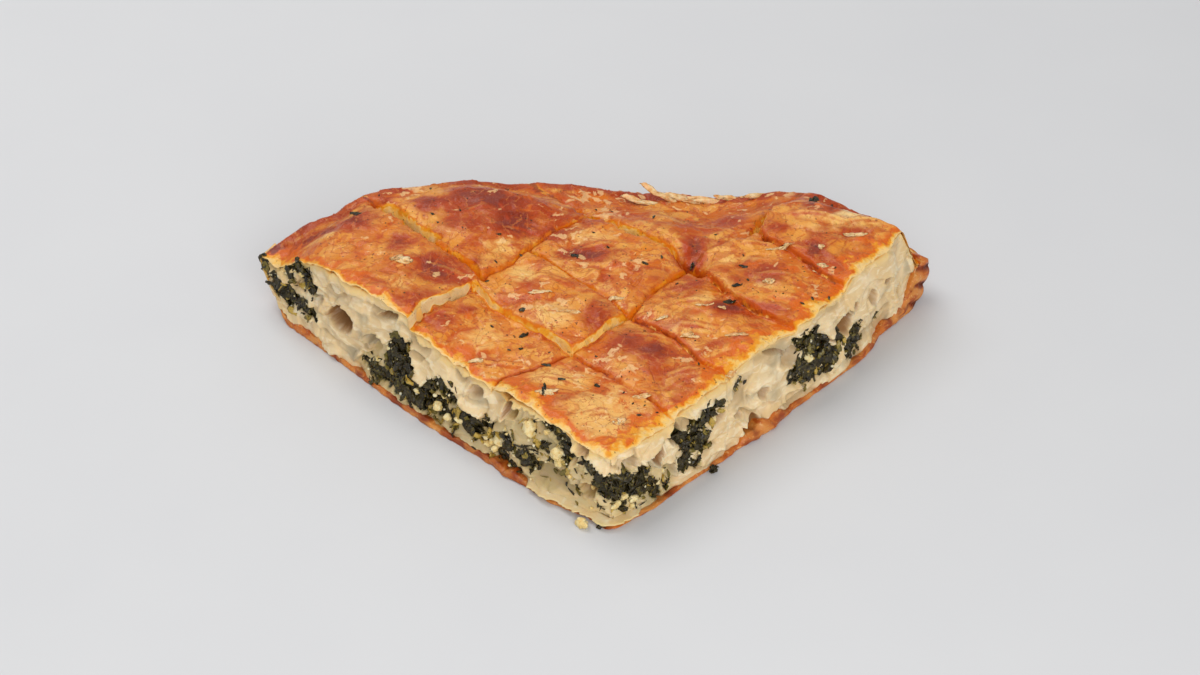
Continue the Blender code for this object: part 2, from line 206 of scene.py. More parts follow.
def lid_height(s, t):
    """The lid without its small creases, how deep in a score cut each place is, and how pale."""
    z = block_height(s, t)
    torn, uneven, fading = (rough(level(s, t), size, shift)
                            for size, shift in ((3.0, 71.0), (8.0, 73.0), (13.0, 75.0)))
    cut_share, pale_share = np.zeros_like(z), np.zeros_like(z)
    for way, place, start, end, width, depth, pale in SCORE_CUTS:
        across, along = (s - place, t) if way == "t" else (t - place, s)
        share = ease((along - start) / 4 + 0.5) * ease((end - along) / 4 + 0.5)
        share = share * (np.clip(1 + 0.8 * fading, 0.55, 1) if depth < SHALLOW else 1)
        wide = width * (1 + 0.45 * torn)
        groove = share * np.clip(1 - np.abs(across) / wide, 0, 1) ** 1.2
        z = z - depth * groove * (1 + 0.35 * uneven) - 0.9 * share * np.exp(-np.abs(across) / 4.0)
        cut_share = np.maximum(cut_share, share * np.exp(-np.abs(across) / (0.6 * wide + 1.2)))
        strayed = (across + 0.7 * torn + 0.6 * uneven) / (wide + 0.6)
        pale_share = np.maximum(pale_share, pale * share * np.exp(-strayed ** 2))
    x, y = plan(s, t)
    turn = turn_of(x, y)
    edge = through(EDGE_HEIGHT, turn)
    inside = side_radius(turn, edge) - np.hypot(x, y)
    slope = ease(1.3 * (1 - inside / through(SLOPE_WIDTH, turn)))
    return z + (edge - z) * slope, cut_share, pale_share * (1 - slope)


# Creases where the top sheets buckled: from, to, half the width, and the height. In a score cut
# CREASE_FADE of each is lost.
CREASE_FADE = 0.6
CREASES = (
    (-97, 103, -83, 119, 1.2, -0.9), (-83, 119, -74, 131, 1.2, -0.9),
    (-87, 106, -82, 116, 1, -0.8), (-80, 124, -82, 109, 1, 0.7), (-78, 100, -64, 107, 1.3, 0.6),
    (-74, 84, -62, 104, 1.2, -0.6), (-64, 104, -44, 96, 1.5, 0.7), (-91, 99, -74, 86, 1.4, 0.6),
    (-75, 144, -68, 155, 1.3, 0.8), (-63, 126, -53, 134, 1.2, -0.8),
    (-53, 134, -39, 139, 1.2, 0.8), (-39, 142, -34, 129, 0.9, 0.9),
    (-34, 129, -21, 123, 1.2, -0.8), (-54, 112, -44, 124, 1.1, 0.7),
    (-19, 128, -6, 137, 1.1, -0.8), (-13, 116, 5, 120, 1.4, 0.6), (-16, 108, 4, 102, 1.3, -0.6),
    (-33, 100, -20, 83, 1.4, 0.7), (-27, 102, -11, 94, 1.2, 0.6), (-28, 78, -16, 58, 1.2, 0.6),
    (-66, 76, -52, 83, 1.2, 0.8), (-56, 66, -44, 74, 1.2, -0.7), (-52, 54, -26, 52, 1.3, 0.7),
    (-28, 46, -8, 40, 1.2, 0.6), (-24, 34, -10, 35, 1.2, 0.8), (-32, 40, -18, 26, 1.3, -0.6),
    (-10, 22, 3, 26, 1.3, 0.6), (-6, 64, 6, 78, 1.2, -0.6), (6, 76, 19, 79, 1.2, 0.6),
    (5, 69, 24, 65, 1.2, 0.6), (16, 44, 36, 48, 1.3, 0.6), (18, 36, 33, 46, 1.2, -0.5),
    (19, 84, 38, 85, 1.3, 0.6), (38, 78, 60, 77, 1.2, -0.6), (20, 73, 42, 67, 1.3, 0.6),
    (50, 83, 63, 76, 1.2, 0.6), (32, 127, 33, 105, 1.2, -1.6), (36, 126, 35, 105, 1.1, 1.3),
    (40, 124, 37, 108, 1.1, -1.3), (29, 120, 31, 105, 1, 1.3), (43, 124, 39, 114, 1.2, 1),
    (26, 126, 30, 116, 1.1, 0.9), (3, 145, 21, 145, 1.3, 0.8), (21, 146, 40, 139, 1.3, -0.8),
    (28, 134, 50, 126, 1.2, 0.8), (46, 117, 62, 113, 1.2, 0.9), (60, 112, 75, 107, 1.2, 1.1),
    (49, 98, 70, 94, 1.3, 0.6), (71, 104, 71, 88, 0.9, 0.9), (56, 86, 75, 77, 1.3, 0.6),
    (63, 132, 88, 124, 1.2, 1), (84, 125, 103, 124, 1.2, 0.9), (74, 118, 100, 114, 1.2, -0.7),
    (83, 113, 96, 115, 1.1, 0.8), (70, 115, 76, 101, 1.1, -0.8), (85, 108, 89, 92, 1.2, -0.9),
    (91, 108, 87, 92, 1.2, 0.8))


def beside(x, y, x0, y0, x1, y1):
    """How far along a line x, y lies, as a share, and how far off the line in x and in y."""
    run = np.array((x1 - x0, y1 - y0), float)
    share = np.clip(((x - x0) * run[0] + (y - y0) * run[1]) / (run @ run), 0, 1)
    return share, x - x0 - share * run[0], y - y0 - share * run[1]


def creased(x, y):
    """How far creases and loose sheets lift the lid, where painted shade darkens its valleys and a
    painted highlight lightens its ridges, and its top sheet.
    """
    flat = level(x, y)
    warp = level(rough(flat, 14, 3.1), rough(flat, 14, 7.7)) * 5
    lift = 0.7 * rough(flat, 14, 1.0) + 0.26 * rough(flat + warp, (7, 4.8, 5), 5.0)
    ridges = np.clip(1 - np.abs(rough(flat + warp, (11, 9, 5), 9.0)) * 4.5, 0, 1) ** 2
    torn = rough(flat + 0.6 * warp, (9, 7, 5), 12.0, 2)
    sheet = ease((torn - 0.14) / 0.05)
    curl = np.exp(-((torn - 0.21) / 0.04) ** 2) * np.clip(0.3 + 1.5 * rough(flat, 6, 15.0), 0, 1)
    lift = lift + 0.35 * ridges + 0.30 * sheet + 0.40 * curl + 0.05 * rough(flat, 1.7, 2.0)
    valley, ridge = np.zeros_like(x), 0.5 * ridges
    for *ends, width, height in CREASES:
        share, off_x, off_y = beside(x, y, *ends)
        arch = np.sin(share * math.pi)
        away = np.hypot(off_x, off_y - 1.6 * arch)
        crease = arch ** 0.6 * np.exp(-(away / width) ** 2)
        flank = arch ** 0.6 * np.exp(-((away - 1.1 * width) / (0.7 * width)) ** 2)
        lift = lift + 0.75 * height * crease
        valley = np.maximum(valley, crease if height < 0 else 0.75 * flank)
        ridge = np.maximum(ridge, crease if height > 0 else 0.6 * flank)
    return lift, valley, ridge, sheet


def lid_top(s, t, x, y):
    """The finished height of the lid: its blocks and cuts at s, t, and its creases at x, y."""
    height, cut_share = lid_height(s, t)[:2]
    return height + creased(x, y)[0] * (1 - CREASE_FADE * cut_share)


# How far each cut face leans out, at its foot and at its top: along the cut, how far.
LEANS = {
    "left": (((0, 0), (30, 4.5), (90, 6.8), (155, 4.0), (190, 1.0)),
             ((0, -2.0), (12, 0), (100, 0), (125, 1.5), (180, 0))),
    "right": (((0, 0), (20, 3.0), (55, 4.8), (125, 6.0), (148, 1.5), (180, 0)),
              ((0, -2.0), (12, 0), (85, 0), (100, 3.8), (115, 2.4), (145, 0.7), (165, -3.0))),
}


def lean_out(face, along, z):
    """How far a cut face stands out of its straight plane: the pie sagged when it was cut."""
    foot, top = LEANS[face]
    share = np.clip(z / 30, 0, 1)
    return through(foot, along) * (1 - share) + through(top, along) * share


def settled(x, y, z):
    """Moves places near a cut face out by its lean, and all of them to the pie's own place."""
    s, t = unplan(x, y)
    left = lean_out("left", s, z) * (1 - ease(t / 20))
    right = lean_out("right", t, z) * (1 - ease(s / 20))
    x = x + left * LEFT_OUT[0] + right * RIGHT_OUT[0] + FRONT_CORNER[0]
    y = y + left * LEFT_OUT[1] + right * RIGHT_OUT[1] + FRONT_CORNER[1]
    return np.stack((x, y, z), 1)


def grid(across, along):
    """A bmesh grid, with the row and column of each vertex."""
    bm = bmesh.new()
    bmesh.ops.create_grid(bm, x_segments=across, y_segments=along, size=1)
    share = (np.array([v.co[:] for v in bm.verts]) + 1) / 2
    return bm, *(np.rint(share[:, k] * size).astype(int) for k, size in enumerate((across, along)))


def shape(bm, co, **attributes):
    """Puts the vertices at co, in millimetres, and keeps a number for each as an attribute."""
    for vert, place in zip(bm.verts, (co * MM).tolist()):
        vert.co = place
    for name, values in attributes.items():
        layer = bm.verts.layers.float.new(name)
        for vert, value in zip(bm.verts, values.tolist()):
            vert[layer] = value


def piece(bm, name, material, replaces):
    """Turns a bmesh into a piece that rides on the pie and stands for CAD nodes."""
    mesh = bpy.data.meshes.new(name)
    bm.to_mesh(mesh)
    bm.free()
    mesh.polygons.foreach_set("use_smooth", [True] * len(mesh.polygons))
    thing = bpy.data.objects.new(name, mesh)
    bpy.context.scene.collection.objects.link(thing)
    thing.data.materials.append(material)
    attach(thing, "root")
    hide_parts(*replaces)


def colour(code):
    """The linear colour of an sRGB hex code."""
    parts = [int(code[k:k + 2], 16) / 255 for k in (1, 3, 5)]
    return tuple(p / 12.92 if p <= 0.04045 else ((p + 0.055) / 1.055) ** 2.4 for p in parts) + (1,)


def new_material(name, values):
    """A material, its node tree, its shader with these values on it, and Object coordinates."""
    material = bpy.data.materials.new(name)
    material.use_nodes = True
    shader = material.node_tree.nodes["Principled BSDF"]
    for socket, value in values.items():
        shader.inputs[socket].default_value = value
    return material, material.node_tree, shader, add(material.node_tree, "TexCoord", {}, "Object")


def add(tree, kind, inputs, output=0, **settings):
    """Adds a node; each input is a number, a hex colour or the output that feeds it."""
    node = tree.nodes.new("ShaderNode" + kind)
    for key, value in settings.items():
        setattr(node, key, value)
    for socket, value in inputs.items():
        if isinstance(value, bpy.types.NodeSocket):
            tree.links.new(value, node.inputs[socket])
        else:
            node.inputs[socket].default_value = colour(value) if isinstance(value, str) else value
    return node.outputs[output]


def painted(tree, tone, coats):
    """Lays colours over a first one. A coat has its colour and the most that it covers, and it
    covers where pattern * amount + start passes from its first number to its second."""
    for code, most, pattern, amount, start, first, second in coats:
        where = add(tree, "Math", {0: pattern, 1: amount, 2: start}, operation="MULTIPLY_ADD")
        cover = add(tree, "MapRange", {
            "Value": where, "From Min": first, "From Max": second, "To Max": most})
        tone = add(tree, "Mix", {0: cover, 6: tone, 7: code}, 2, data_type="RGBA")
    return tone


def finished(tree, shader, tone, gloss, heights, depth):
    """Gives a shader its colour, its roughness from (pattern, amount, start), and its relief."""
    tree.links.new(tone, shader.inputs["Base Color"])
    pattern, amount, start = gloss
    rough_share = add(tree, "Math", {0: pattern, 1: amount, 2: start}, operation="MULTIPLY_ADD")
    tree.links.new(rough_share, shader.inputs["Roughness"])
    total = 0.0
    for pattern, amount in heights:
        total = add(tree, "Math", {0: pattern, 1: amount, 2: total}, operation="MULTIPLY_ADD")
    bump = add(tree, "Bump", {"Height": total, "Strength": 0.5, "Distance": depth * MM}, "Normal")
    tree.links.new(bump, shader.inputs["Normal"])


# Egg-washed filo crust: thin hard sheets that lie over each other in torn patches. The egg gives
# an uneven gloss, and browned from peach through orange to red-brown, and to a dull mauve where
# it scorched. Yellow and cream dough shows towards a cut edge.
crust, tree, shader, here = new_material("egg_washed_filo_crust", {
    "IOR": 1.45, "Specular IOR Level": 0.22, "Coat Weight": 0.14, "Coat Roughness": 0.12,
    "Subsurface Weight": 0.03, "Subsurface Radius": (1.0, 0.45, 0.2), "Subsurface Scale": 0.0015})
# In mm: clouds of browning 20, brush streaks 8, torn sheets 12 and 6, long cracks 13, blisters
# 2.4, chips 3.4. The crust's own grain is near 0.2 and its burnt specks near 0.5, too fine to
# show, so they are drawn at 0.8 and 1.5.
broad, streaks, sheets, layers, veins, small, chips, fine, specks = (
    add(tree, "TexNoise", {"Vector": add(tree, "Mapping", {"Vector": here, "Scale": stretch}),
                           "Scale": 1 / (size * MM), "Detail": detail, "Distortion": warp})
    for size, detail, warp, stretch in (
        (20, 2, 0.6, (0.9, 1, 1)), (8, 4, 0.6, (0.8, 1, 1)), (12, 4, 0.9, (0.85, 1, 1)),
        (6.0, 4, 0.7, (0.9, 1, 1)), (13, 3, 0.9, (0.9, 1, 1)), (2.4, 4, 0.4, (0.85, 1, 1)),
        (3.4, 4, 0.5, (0.9, 1, 1)), (0.8, 3, 0.0, (0.8, 1, 1)), (1.5, 1, 0.0, (1, 1, 1))))
# Scales that the top sheet cracked into are about 10 mm wide, with edges that sway by up to 18.
SCALE_WIDTH, SCALE_SWAY = 10 * MM, 18 * MM
sway_colour = add(tree, "TexNoise", {"Vector": here, "Scale": 1 / (9 * MM), "Detail": 4}, 1)
sway = add(tree, "VectorMath", {0: sway_colour, "Scale": SCALE_SWAY}, operation="SCALE")
swayed = add(tree, "VectorMath", {0: sway, 1: here}, operation="ADD")
scale_tone = add(tree, "TexVoronoi", {"Vector": swayed, "Scale": 1 / SCALE_WIDTH}, "Color")
scale_edge = add(tree, "TexVoronoi", {"Vector": swayed, "Scale": 1 / SCALE_WIDTH},
                 feature="DISTANCE_TO_EDGE")
from_middle = add(tree, "Math", {0: veins, 1: 0.5}, operation="SUBTRACT")
line = add(tree, "Math", {0: from_middle}, operation="ABSOLUTE")
brown, pale_patch, groove, rim, wall, valley_share, ridge_share, sheet_share = (
    add(tree, "Attribute", {}, "Fac", attribute_name=name)
    for name in ("brown", "pale", "groove", "rim", "wall", "valley", "ridge", "sheet"))
tone = painted(tree, "#DA8A2C", (
    ("#D26E14", 1, broad, 1, 0, 0.4, 0.58),
    ("#E39C42", 0.7, sheets, 1, 0, 0.555, 0.575),
    ("#E09A40", 0.35, small, 0.3, sheet_share, 0.55, 0.75),
    ("#E6A850", 0.45, scale_tone, 1, 0, 0.6, 0.62),
    ("#BC4C0C", 0.4, scale_tone, 1, 0, 0.37, 0.35),
    ("#BC4606", 0.64, streaks, 1, 0, 0.51, 0.65),
    ("#B43E0C", 0.45, layers, 1, 0, 0.43, 0.41),
    ("#E6A64C", 0.5, layers, 1, 0, 0.6, 0.615),
    ("#EBB766", 0.85, layers, 1.1, pale_patch, 0.84, 1.1),
    ("#EBC98C", 0.85, small, 1.1, pale_patch, 1.28, 1.42),
    ("#A6380A", 0.92, streaks, 1.1, brown, 0.65, 1.03),
    ("#76220C", 0.85, streaks, 1.1, brown, 1.1, 1.44),
    ("#82382A", 0.55, layers, 1.2, brown, 1.28, 1.36),
    # Dark lines along the long cracks: partly burnt edges, partly painted shade in the cracks.
    ("#A23606", 0.5, line, 1, 0, 0.012, 0.002),
    ("#E9B468", 0.3, scale_edge, -7, small, 0.3, 0.42),
    ("#B43C04", 0.75, scale_edge, -14, small, 0.22, 0.46),
    # Painted shade in the creases' valleys and beside raised creases, painted highlight on ridges.
    ("#B23A02", 0.6, small, 0.8, valley_share, 0.68, 1.02),
    ("#E2A04C", 0.28, small, 0.6, ridge_share, 0.8, 1.05),
    # Cream chips: partly flakes that the egg missed, partly painted highlight for the crust's
    # glints.
    ("#EEC184", 0.65, chips, 1.2, broad, 1.31, 1.35),
    # Score cuts: deeper orange where the egg pooled, partly painted shade; yellow dough in their
    # sides; red-brown painted shade in their middle.
    ("#BE4C04", 0.85, small, 0.9, groove, 0.7, 1.04),
    ("#E49A26", 0.8, layers, 1.4, groove, 1.52, 1.7),
    ("#8E3206", 0.85, chips, 1.8, groove, 1.64, 1.88),
    ("#E9B65E", 0.85, chips, -2, groove, 0.02, 0.12),
    ("#D25E04", 0.9, layers, 1.1, rim, 0.66, 0.84),
    ("#E79A1E", 0.85, chips, 1.2, rim, 1.02, 1.2),
    ("#EBBB60", 1, small, 0.9, rim, 1.06, 1.2),
    ("#E3C083", 0.9, small, 0.9, rim, 1.22, 1.36),
    ("#DB7408", 0.9, small, 1, wall, 0.62, 0.9),
    ("#E6A026", 0.9, chips, 1.2, wall, 1.02, 1.25),
    ("#EBBE66", 0.9, small, 1.2, wall, 1.25, 1.42),
    ("#EBD2A2", 0.95, chips, 1.2, wall, 1.58, 1.8),
    ("#D5AE70", 0.6, layers, 1.6, wall, 1.78, 1.96),
    ("#5E260E", 0.6, specks, 1, 0, 0.7, 0.74)))
torn_edge, torn_layer, sunk = (
    add(tree, "MapRange", {"Value": pattern, "From Min": first, "From Max": second})
    for pattern, first, second in ((sheets, 0.555, 0.575), (layers, 0.6, 0.615), (line, 0.02, 0)))
finished(tree, shader, tone, (small, 0.34, 0.20),
         ((torn_edge, 0.45), (torn_layer, 0.4), (scale_tone, 0.5), (small, 1.3), (chips, 0.8),
          (fine, 0.8), (sunk, -0.5)), 0.6)

# The lid's mesh: a line every LID_STEP, and closer ones over each score cut.
LID_STEP = 0.70
LINES_OVER_CUT = (
    -3.2, -2.4, -1.7, -1.2, -0.85, -0.55, -0.3, -0.1, 0.1, 0.3, 0.55, 0.85, 1.2, 1.7, 2.4, 3.2)


def score_lines(end, cuts):
    """Lines across the lid, from a cut face to past the tray's wall."""
    lines = [*np.arange(0, 1.8, 0.3), *np.arange(1.8, end, LID_STEP)]
    for cut in cuts:
        lines = [line for line in lines if abs(line - cut) > LINES_OVER_CUT[-1] + 0.4]
        lines += [cut + off for off in LINES_OVER_CUT]
    return np.array(sorted(lines))


s_lines = score_lines(200, S_CUTS)
t_lines = score_lines(196, (*T_CUTS, T_CUT_BEHIND))
bm, row, column = grid(len(s_lines) - 1, len(t_lines) - 1)
s, t = s_lines[row], t_lines[column]
height, cut_share, pale_share = lid_height(s, t)
moved_s, moved_t = nudged(s, t)
flat = level(s, t)
sway = ease(s / 8) * ease(t / 8)
moved_s = moved_s + 2.1 * sway * rough(flat, 20, 31.0) + 0.45 * sway * rough(flat, 5, 33.0)
moved_t = moved_t + 2.1 * sway * rough(flat, 20, 41.0) + 0.45 * sway * rough(flat, 5, 43.0)
x, y = plan(moved_s, moved_t)
lift, valley, ridge, top_sheet = creased(x, y)
height = height + lift * (1 - CREASE_FADE * cut_share)
near = np.minimum(s, t)
ragged = 0.3 * rough(flat, 2.6, 51.0) + 0.75 * rough(flat, 8, 53.0)
height = height - (0.9 + 0.6 * ragged) * np.exp(-(near / 1.5) ** 2)
# The egg and the heat stopped at an uneven line, so the dough shows yellow, then cream, on top.
pale_edge = 1.3 + 6.0 * np.clip(rough(flat, 13, 55.0, 2), 0, 1) + 0.5 * rough(flat, 3, 57.0)
pale_edge = np.maximum(pale_edge, 0.4) * np.where(t > s, 1.5, 1)
# Past the edge of the pie the skin turns over and runs down inside the rim, and ends there.
TURN_OVER = 2.6
SKIN_DROP, SKIN_FOOT = 16, 4 * MM
turn = turn_of(x, y)
edge_z = through(EDGE_HEIGHT, turn)
radius = np.hypot(x, y)
past = radius - (side_radius(turn, edge_z) - TURN_OVER)
angle = np.clip(past / TURN_OVER, 0, math.pi / 2)
down = np.clip(past - TURN_OVER * math.pi / 2, 0, None)
drop = TURN_OVER * (1 - np.cos(angle)) + down
wave = 0.6 * rough(level(x, y), 6, 61.0) * ease(past / 3)
z = height - drop
wall_radius = side_radius(turn, z) - TURN_OVER + TURN_OVER * np.sin(angle) + wave - 0.25 * down
new_radius = np.where(past > 0, wall_radius, radius)
x, y = x * new_radius / np.maximum(radius, 0.01), y * new_radius / np.maximum(radius, 0.01)
co = settled(x, y, z)
outward = np.exp(-(near / 1.1) ** 2) * (0.35 + 0.9 * np.clip(ragged, -0.5, 1))
co[:, :2] += outward[:, None] * np.where((t < s)[:, None], LEFT_OUT, RIGHT_OUT)

# Patches that the oven browned most, and those that stayed pale: the middle over the table, seen
# from the front corner, half the width and depth, and how dark or pale.
BROWNED = (
    (-59, 101, 11, 8, 0.85), (-74, 116, 5, 6, 0.6), (-90, 133, 10, 6, 0.7), (-101, 130, 5, 4, 0.8),
    (-64, 84, 10, 6, 0.5), (-80, 145, 4, 4, 0.6), (-64, 141, 5, 7, 0.7), (-44, 143, 17, 9, 0.85),
    (-33, 131, 14, 8, 0.8), (-18, 129, 9, 6, 0.7), (-53, 128, 9, 6, 0.6), (-9, 143, 7, 4, 0.7),
    (-46, 108, 4, 4, 0.5), (-7, 114, 9, 4, 1), (-3, 76, 6, 8, 0.65), (-60, 78, 8, 4, 0.55),
    (-50, 83, 4, 4, 0.5), (-18, 32, 6, 4, 0.35), (18, 98, 5, 4, 0.35), (7, 66, 7, 8, 0.7),
    (15, 59, 11, 6, 0.8), (23, 44, 8, 7, 0.35), (43, 81, 8, 4, 1), (31, 78, 5, 3, 0.45),
    (53, 78, 7, 4, 0.6), (17, 72, 8, 4, 0.45), (37, 62, 10, 3, 0.35), (45, 138, 7, 5, 0.7),
    (26, 143, 10, 4, 0.55), (32, 119, 4, 10, 0.75), (57, 99, 9, 7, 0.65), (47, 95, 5, 4, 0.45),
    (76, 137, 4, 5, 1), (81, 132, 5, 4, 0.6), (74, 109, 4, 6, 0.85), (88, 120, 13, 4, 0.45),
    (62, 124, 5, 4, 0.35), (85, 104, 5, 7, 0.35), (16, 163, 12, 4, 0.5), (50, 160, 12, 4, 0.5),
    (-30, 140, 26, 14, 0.45), (26, 96, 18, 10, 0.3), (-108, 132, 10, 4, 0.8),
    (62, 148, 12, 5, 0.4), (30, 132, 16, 6, 0.4), (31, 110, 4, 5, 1), (-121, 133, 7, 5, 1.1))
PALE = (
    (88, 131, 15, 9, 1), (78, 121, 10, 4, 0.5), (-99, 128, 6, 8, 0.6), (-72, 92, 6, 8, 0.4),
    (-44, 66, 10, 8, 0.5), (-19, 79, 8, 8, 0.7), (-29, 103, 5, 6, 0.8), (-18, 45, 12, 6, 0.7),
    (-5, 125, 10, 8, 0.5), (-2, 97, 12, 6, 0.4), (25, 70, 14, 5, 0.5), (56, 95, 4, 7, 0.8),
    (16, 138, 7, 4, 0.4), (46, 107, 11, 3, 0.5), (-64, 154, 8, 4, 0.5), (-38, 119, 9, 5, 0.5),
    (33, 87, 9, 5, 0.5), (-2, 24, 16, 17, 0.72), (5, 106, 10, 7, 0.35), (62, 98, 9, 6, 0.35),
    (89, 118, 9, 5, 0.45))


def patched(values, x, y, patches, falloff=1.0):
    """The larger of the values and of soft patches: middle, half the sizes, strength."""
    for at_x, at_y, half_x, half_y, strength in patches:
        away = ((x - at_x) / half_x) ** 2 + ((y - at_y) / half_y) ** 2
        values = np.maximum(values, strength * np.exp(-away * falloff))
    return values


browned, pale = (patched(0 * x, x, y, patches, 0.8) for patches in (BROWNED, PALE))
browned = np.maximum(browned, 0.55 * ease(past / 3 + 1.5) * (1 - pale))
shape(bm, co, brown=browned, groove=cut_share * (1 - pale_share), wall=pale_share,
      rim=np.exp(-near / pale_edge) * ease((60 - past) / 50), valley=valley, ridge=ridge,
      sheet=top_sheet, pale=pale)
gone = [v for v, far in zip(bm.verts, down)
        if far > SKIN_DROP or far > 0 and v.co.z < SKIN_FOOT]
bmesh.ops.delete(bm, geom=gone, context="VERTS")
bmesh.ops.reverse_faces(bm, faces=bm.faces)
bm.normal_update()
# Pale dough shows only where the side of a cut is steep.
steep = bm.verts.layers.float["wall"]
for vert in bm.verts:
    vert[steep] *= min(1.0, max(0.0, (0.85 - vert.normal.z) / 0.35))
piece(bm, "pastry_lid_crust", crust, ("pastry_top",))

# The cut faces: soft cooked sheets of dough, boiled and baked together until they set, and
# sliced through by a knife. The slice shows smeared folds, a few holes where steam lay between
# the sheets, and hollows where the filling sits. It is one skin that starts under the lid.

# How long the cuts are, from where on they are fitted to the side's curve, how far the front
# corner is rounded, and how far below the lid's top the skin of the faces ends.
LEFT_END, RIGHT_END = BELLY_RADIUS[-1][1], BELLY_RADIUS[0][1]
FITTED_FROM = 140
CORNER_ROUND = 3.2
UNDER_LID = 1.5


def along_cuts(p, z, inside=0.0):
    """s and t of a place p along the two cuts, which end at the tray's wall, and inside them."""
    end = np.where(p < 0, side_radius(np.ones_like(z), z), side_radius(np.zeros_like(z), z))
    full = np.where(p < 0, LEFT_END, RIGHT_END)
    reach = np.abs(p)
    over = (reach - FITTED_FROM) * (end - FITTED_FROM) / (full - FITTED_FROM)
    reach = np.where(reach > FITTED_FROM, FITTED_FROM + over, reach)
    near_corner = np.clip(1 - np.abs(p) / CORNER_ROUND, 0, 1)
    corner = 1.1 * near_corner ** 2 + inside
    reach = reach + corner * near_corner
    return np.where(p < 0, reach, corner), np.where(p < 0, corner, reach)


def on_face(p, z, out):
    """Places at height z on the cut faces, p along them, and so far out from them."""
    co = settled(*plan(*along_cuts(p, z)), z)
    co[:, :2] += np.asarray(out)[:, None] * facing(p)
    return co


def facing(p):
    """The outward direction of the cut faces, turning from the one to the other at the corner."""
    share = ease((p + 4) / 8)[:, None]
    way = LEFT_OUT * (1 - share) + RIGHT_OUT * share
    return way / np.hypot(way[:, 0], way[:, 1])[:, None]


# Where the spinach shows: along the faces, height, half the width and height of each clump.
CLUMPS = (
    (-181, 17, 1.6, 2.2), (-181.5, 14, 1.6, 2), (-178.5, 10.5, 2, 1.6), (-176, 21.5, 5, 3),
    (-169, 24.5, 5, 3.2), (-166, 21.5, 3.5, 2.2), (-161, 26, 4, 2.6), (-157, 24, 4, 2.8),
    (-152.5, 21, 2.8, 2.4), (-176, 14.5, 3, 1.6), (-173, 12.5, 3.2, 2.6), (-171, 9.5, 3.4, 2.8),
    (-166, 14, 4, 2.5), (-161, 12.5, 4, 2.8), (-156, 12, 4, 2.6), (-152, 11, 2, 2),
    (-104, 23.5, 4, 2.4), (-106, 19, 3.5, 3), (-107, 15, 3, 3), (-102, 14.5, 4, 3),
    (-98, 15.5, 4.5, 3), (-96, 12, 5, 2.8), (-91, 11.5, 4, 2.2), (-104, 11.5, 3, 2.2),
    (-121, 6, 3.5, 2.2), (-116, 5.4, 4, 2.8), (-110, 5.6, 4.5, 3), (-104, 5.6, 4, 3.2),
    (-98, 6, 4.5, 3.2), (-91, 5.8, 5, 3), (-84, 5.6, 4, 2.4), (-77, 6, 3.4, 2.4),
    (-70, 8.5, 3, 2.4), (-86.5, 15, 2.4, 3), (-81.5, 18, 4, 2.4), (-77, 16, 2.4, 4),
    (-78, 12.5, 2, 2.2), (-72, 14.8, 2.8, 2), (-67.5, 13.8, 2.8, 1.8), (-62.5, 13.8, 3, 1.8),
    (-58.5, 12.8, 2.2, 2.6), (-66.2, 6.7, 3.8, 3.2), (-47.4, 10.5, 2.8, 2), (-55, 10, 2.4, 1.8),
    (-50, 2.8, 4.5, 1.8), (-44.5, 3, 3.5, 1.6), (-38, 8.5, 4, 3.2), (-33, 24.5, 2.8, 2.2),
    (-28, 24.6, 3.2, 2.6), (-24, 23.5, 3, 3), (-21.5, 20, 2.4, 3.6), (-22, 16.5, 2, 2),
    (-32, 16.5, 2.6, 2), (-28, 12.8, 2.2, 1.3), (-22.3, 15.7, 1.8, 1.2), (-9.5, 20.5, 3.6, 2.6),
    (-5.5, 18, 4, 2.6), (-1.5, 16.5, 3.6, 2.6), (-6, 13.5, 3.2, 2.4), (-1.5, 12.5, 3, 2.2),
    (2.5, 15.5, 3, 2.4), (8, 14, 3, 3), (4, 10, 3, 2.6), (9, 9, 3.2, 2.4), (14, 10.5, 3, 2.6),
    (17, 14.5, 2.6, 3), (13, 6.5, 3.4, 2.2), (18, 6.5, 3, 2.6), (5.5, 6.3, 3, 1.6),
    (22.5, 2.4, 3, 1.2), (34, 18.6, 2.2, 2.2), (36.5, 15, 2.4, 2.6), (41, 13.5, 3.4, 2.6),
    (40.5, 18, 3.2, 2.8), (44, 20.5, 3.6, 2.6), (49, 21, 3.2, 2.8), (53.5, 22.5, 2.4, 1.2),
    (36, 11, 1.8, 2.4), (33.5, 8.5, 2.4, 2.2), (36.5, 6.5, 2.4, 2.4), (40, 5, 1.8, 1.8),
    (64.5, 22.5, 2.8, 1.5), (96, 24, 3, 1.6), (100.5, 23, 3.4, 2.2), (103.8, 24.2, 2, 1.6),
    (104.5, 19, 4, 3.2), (107.5, 14.5, 3, 3.4), (108.8, 9.5, 2.4, 3.4), (103.5, 12.5, 3.6, 3.2),
    (96.5, 17.2, 4, 3), (94, 13.5, 3, 3.2), (98.5, 11.5, 4.4, 2.8), (91.5, 10.2, 2.2, 2),
    (112, 12, 2.6, 2.4), (99, 7.5, 3.6, 1.6), (105, 6.5, 3.4, 1.6), (109, 6, 1.6, 2),
    (116, 15.5, 1.8, 1.6), (121, 8.5, 3, 2.6), (125, 9, 3.6, 2.8), (127, 11.5, 2.4, 1.6),
    (123, 5, 3.2, 1.8), (143.3, 7.5, 3.2, 1.8))


def clump_share(p, z, ragged):
    """1 in the middle of a clump of spinach to 0 at its uneven edge."""
    share = np.zeros_like(p)
    for at_p, at_z, half_p, half_z in CLUMPS:
        away = np.hypot((p - at_p) / (half_p + 0.5), (z - at_z) / (half_z + 0.5)) + 0.3 * ragged
        share = np.maximum(share, 1 - away)
    return np.clip(share, 0, 1)


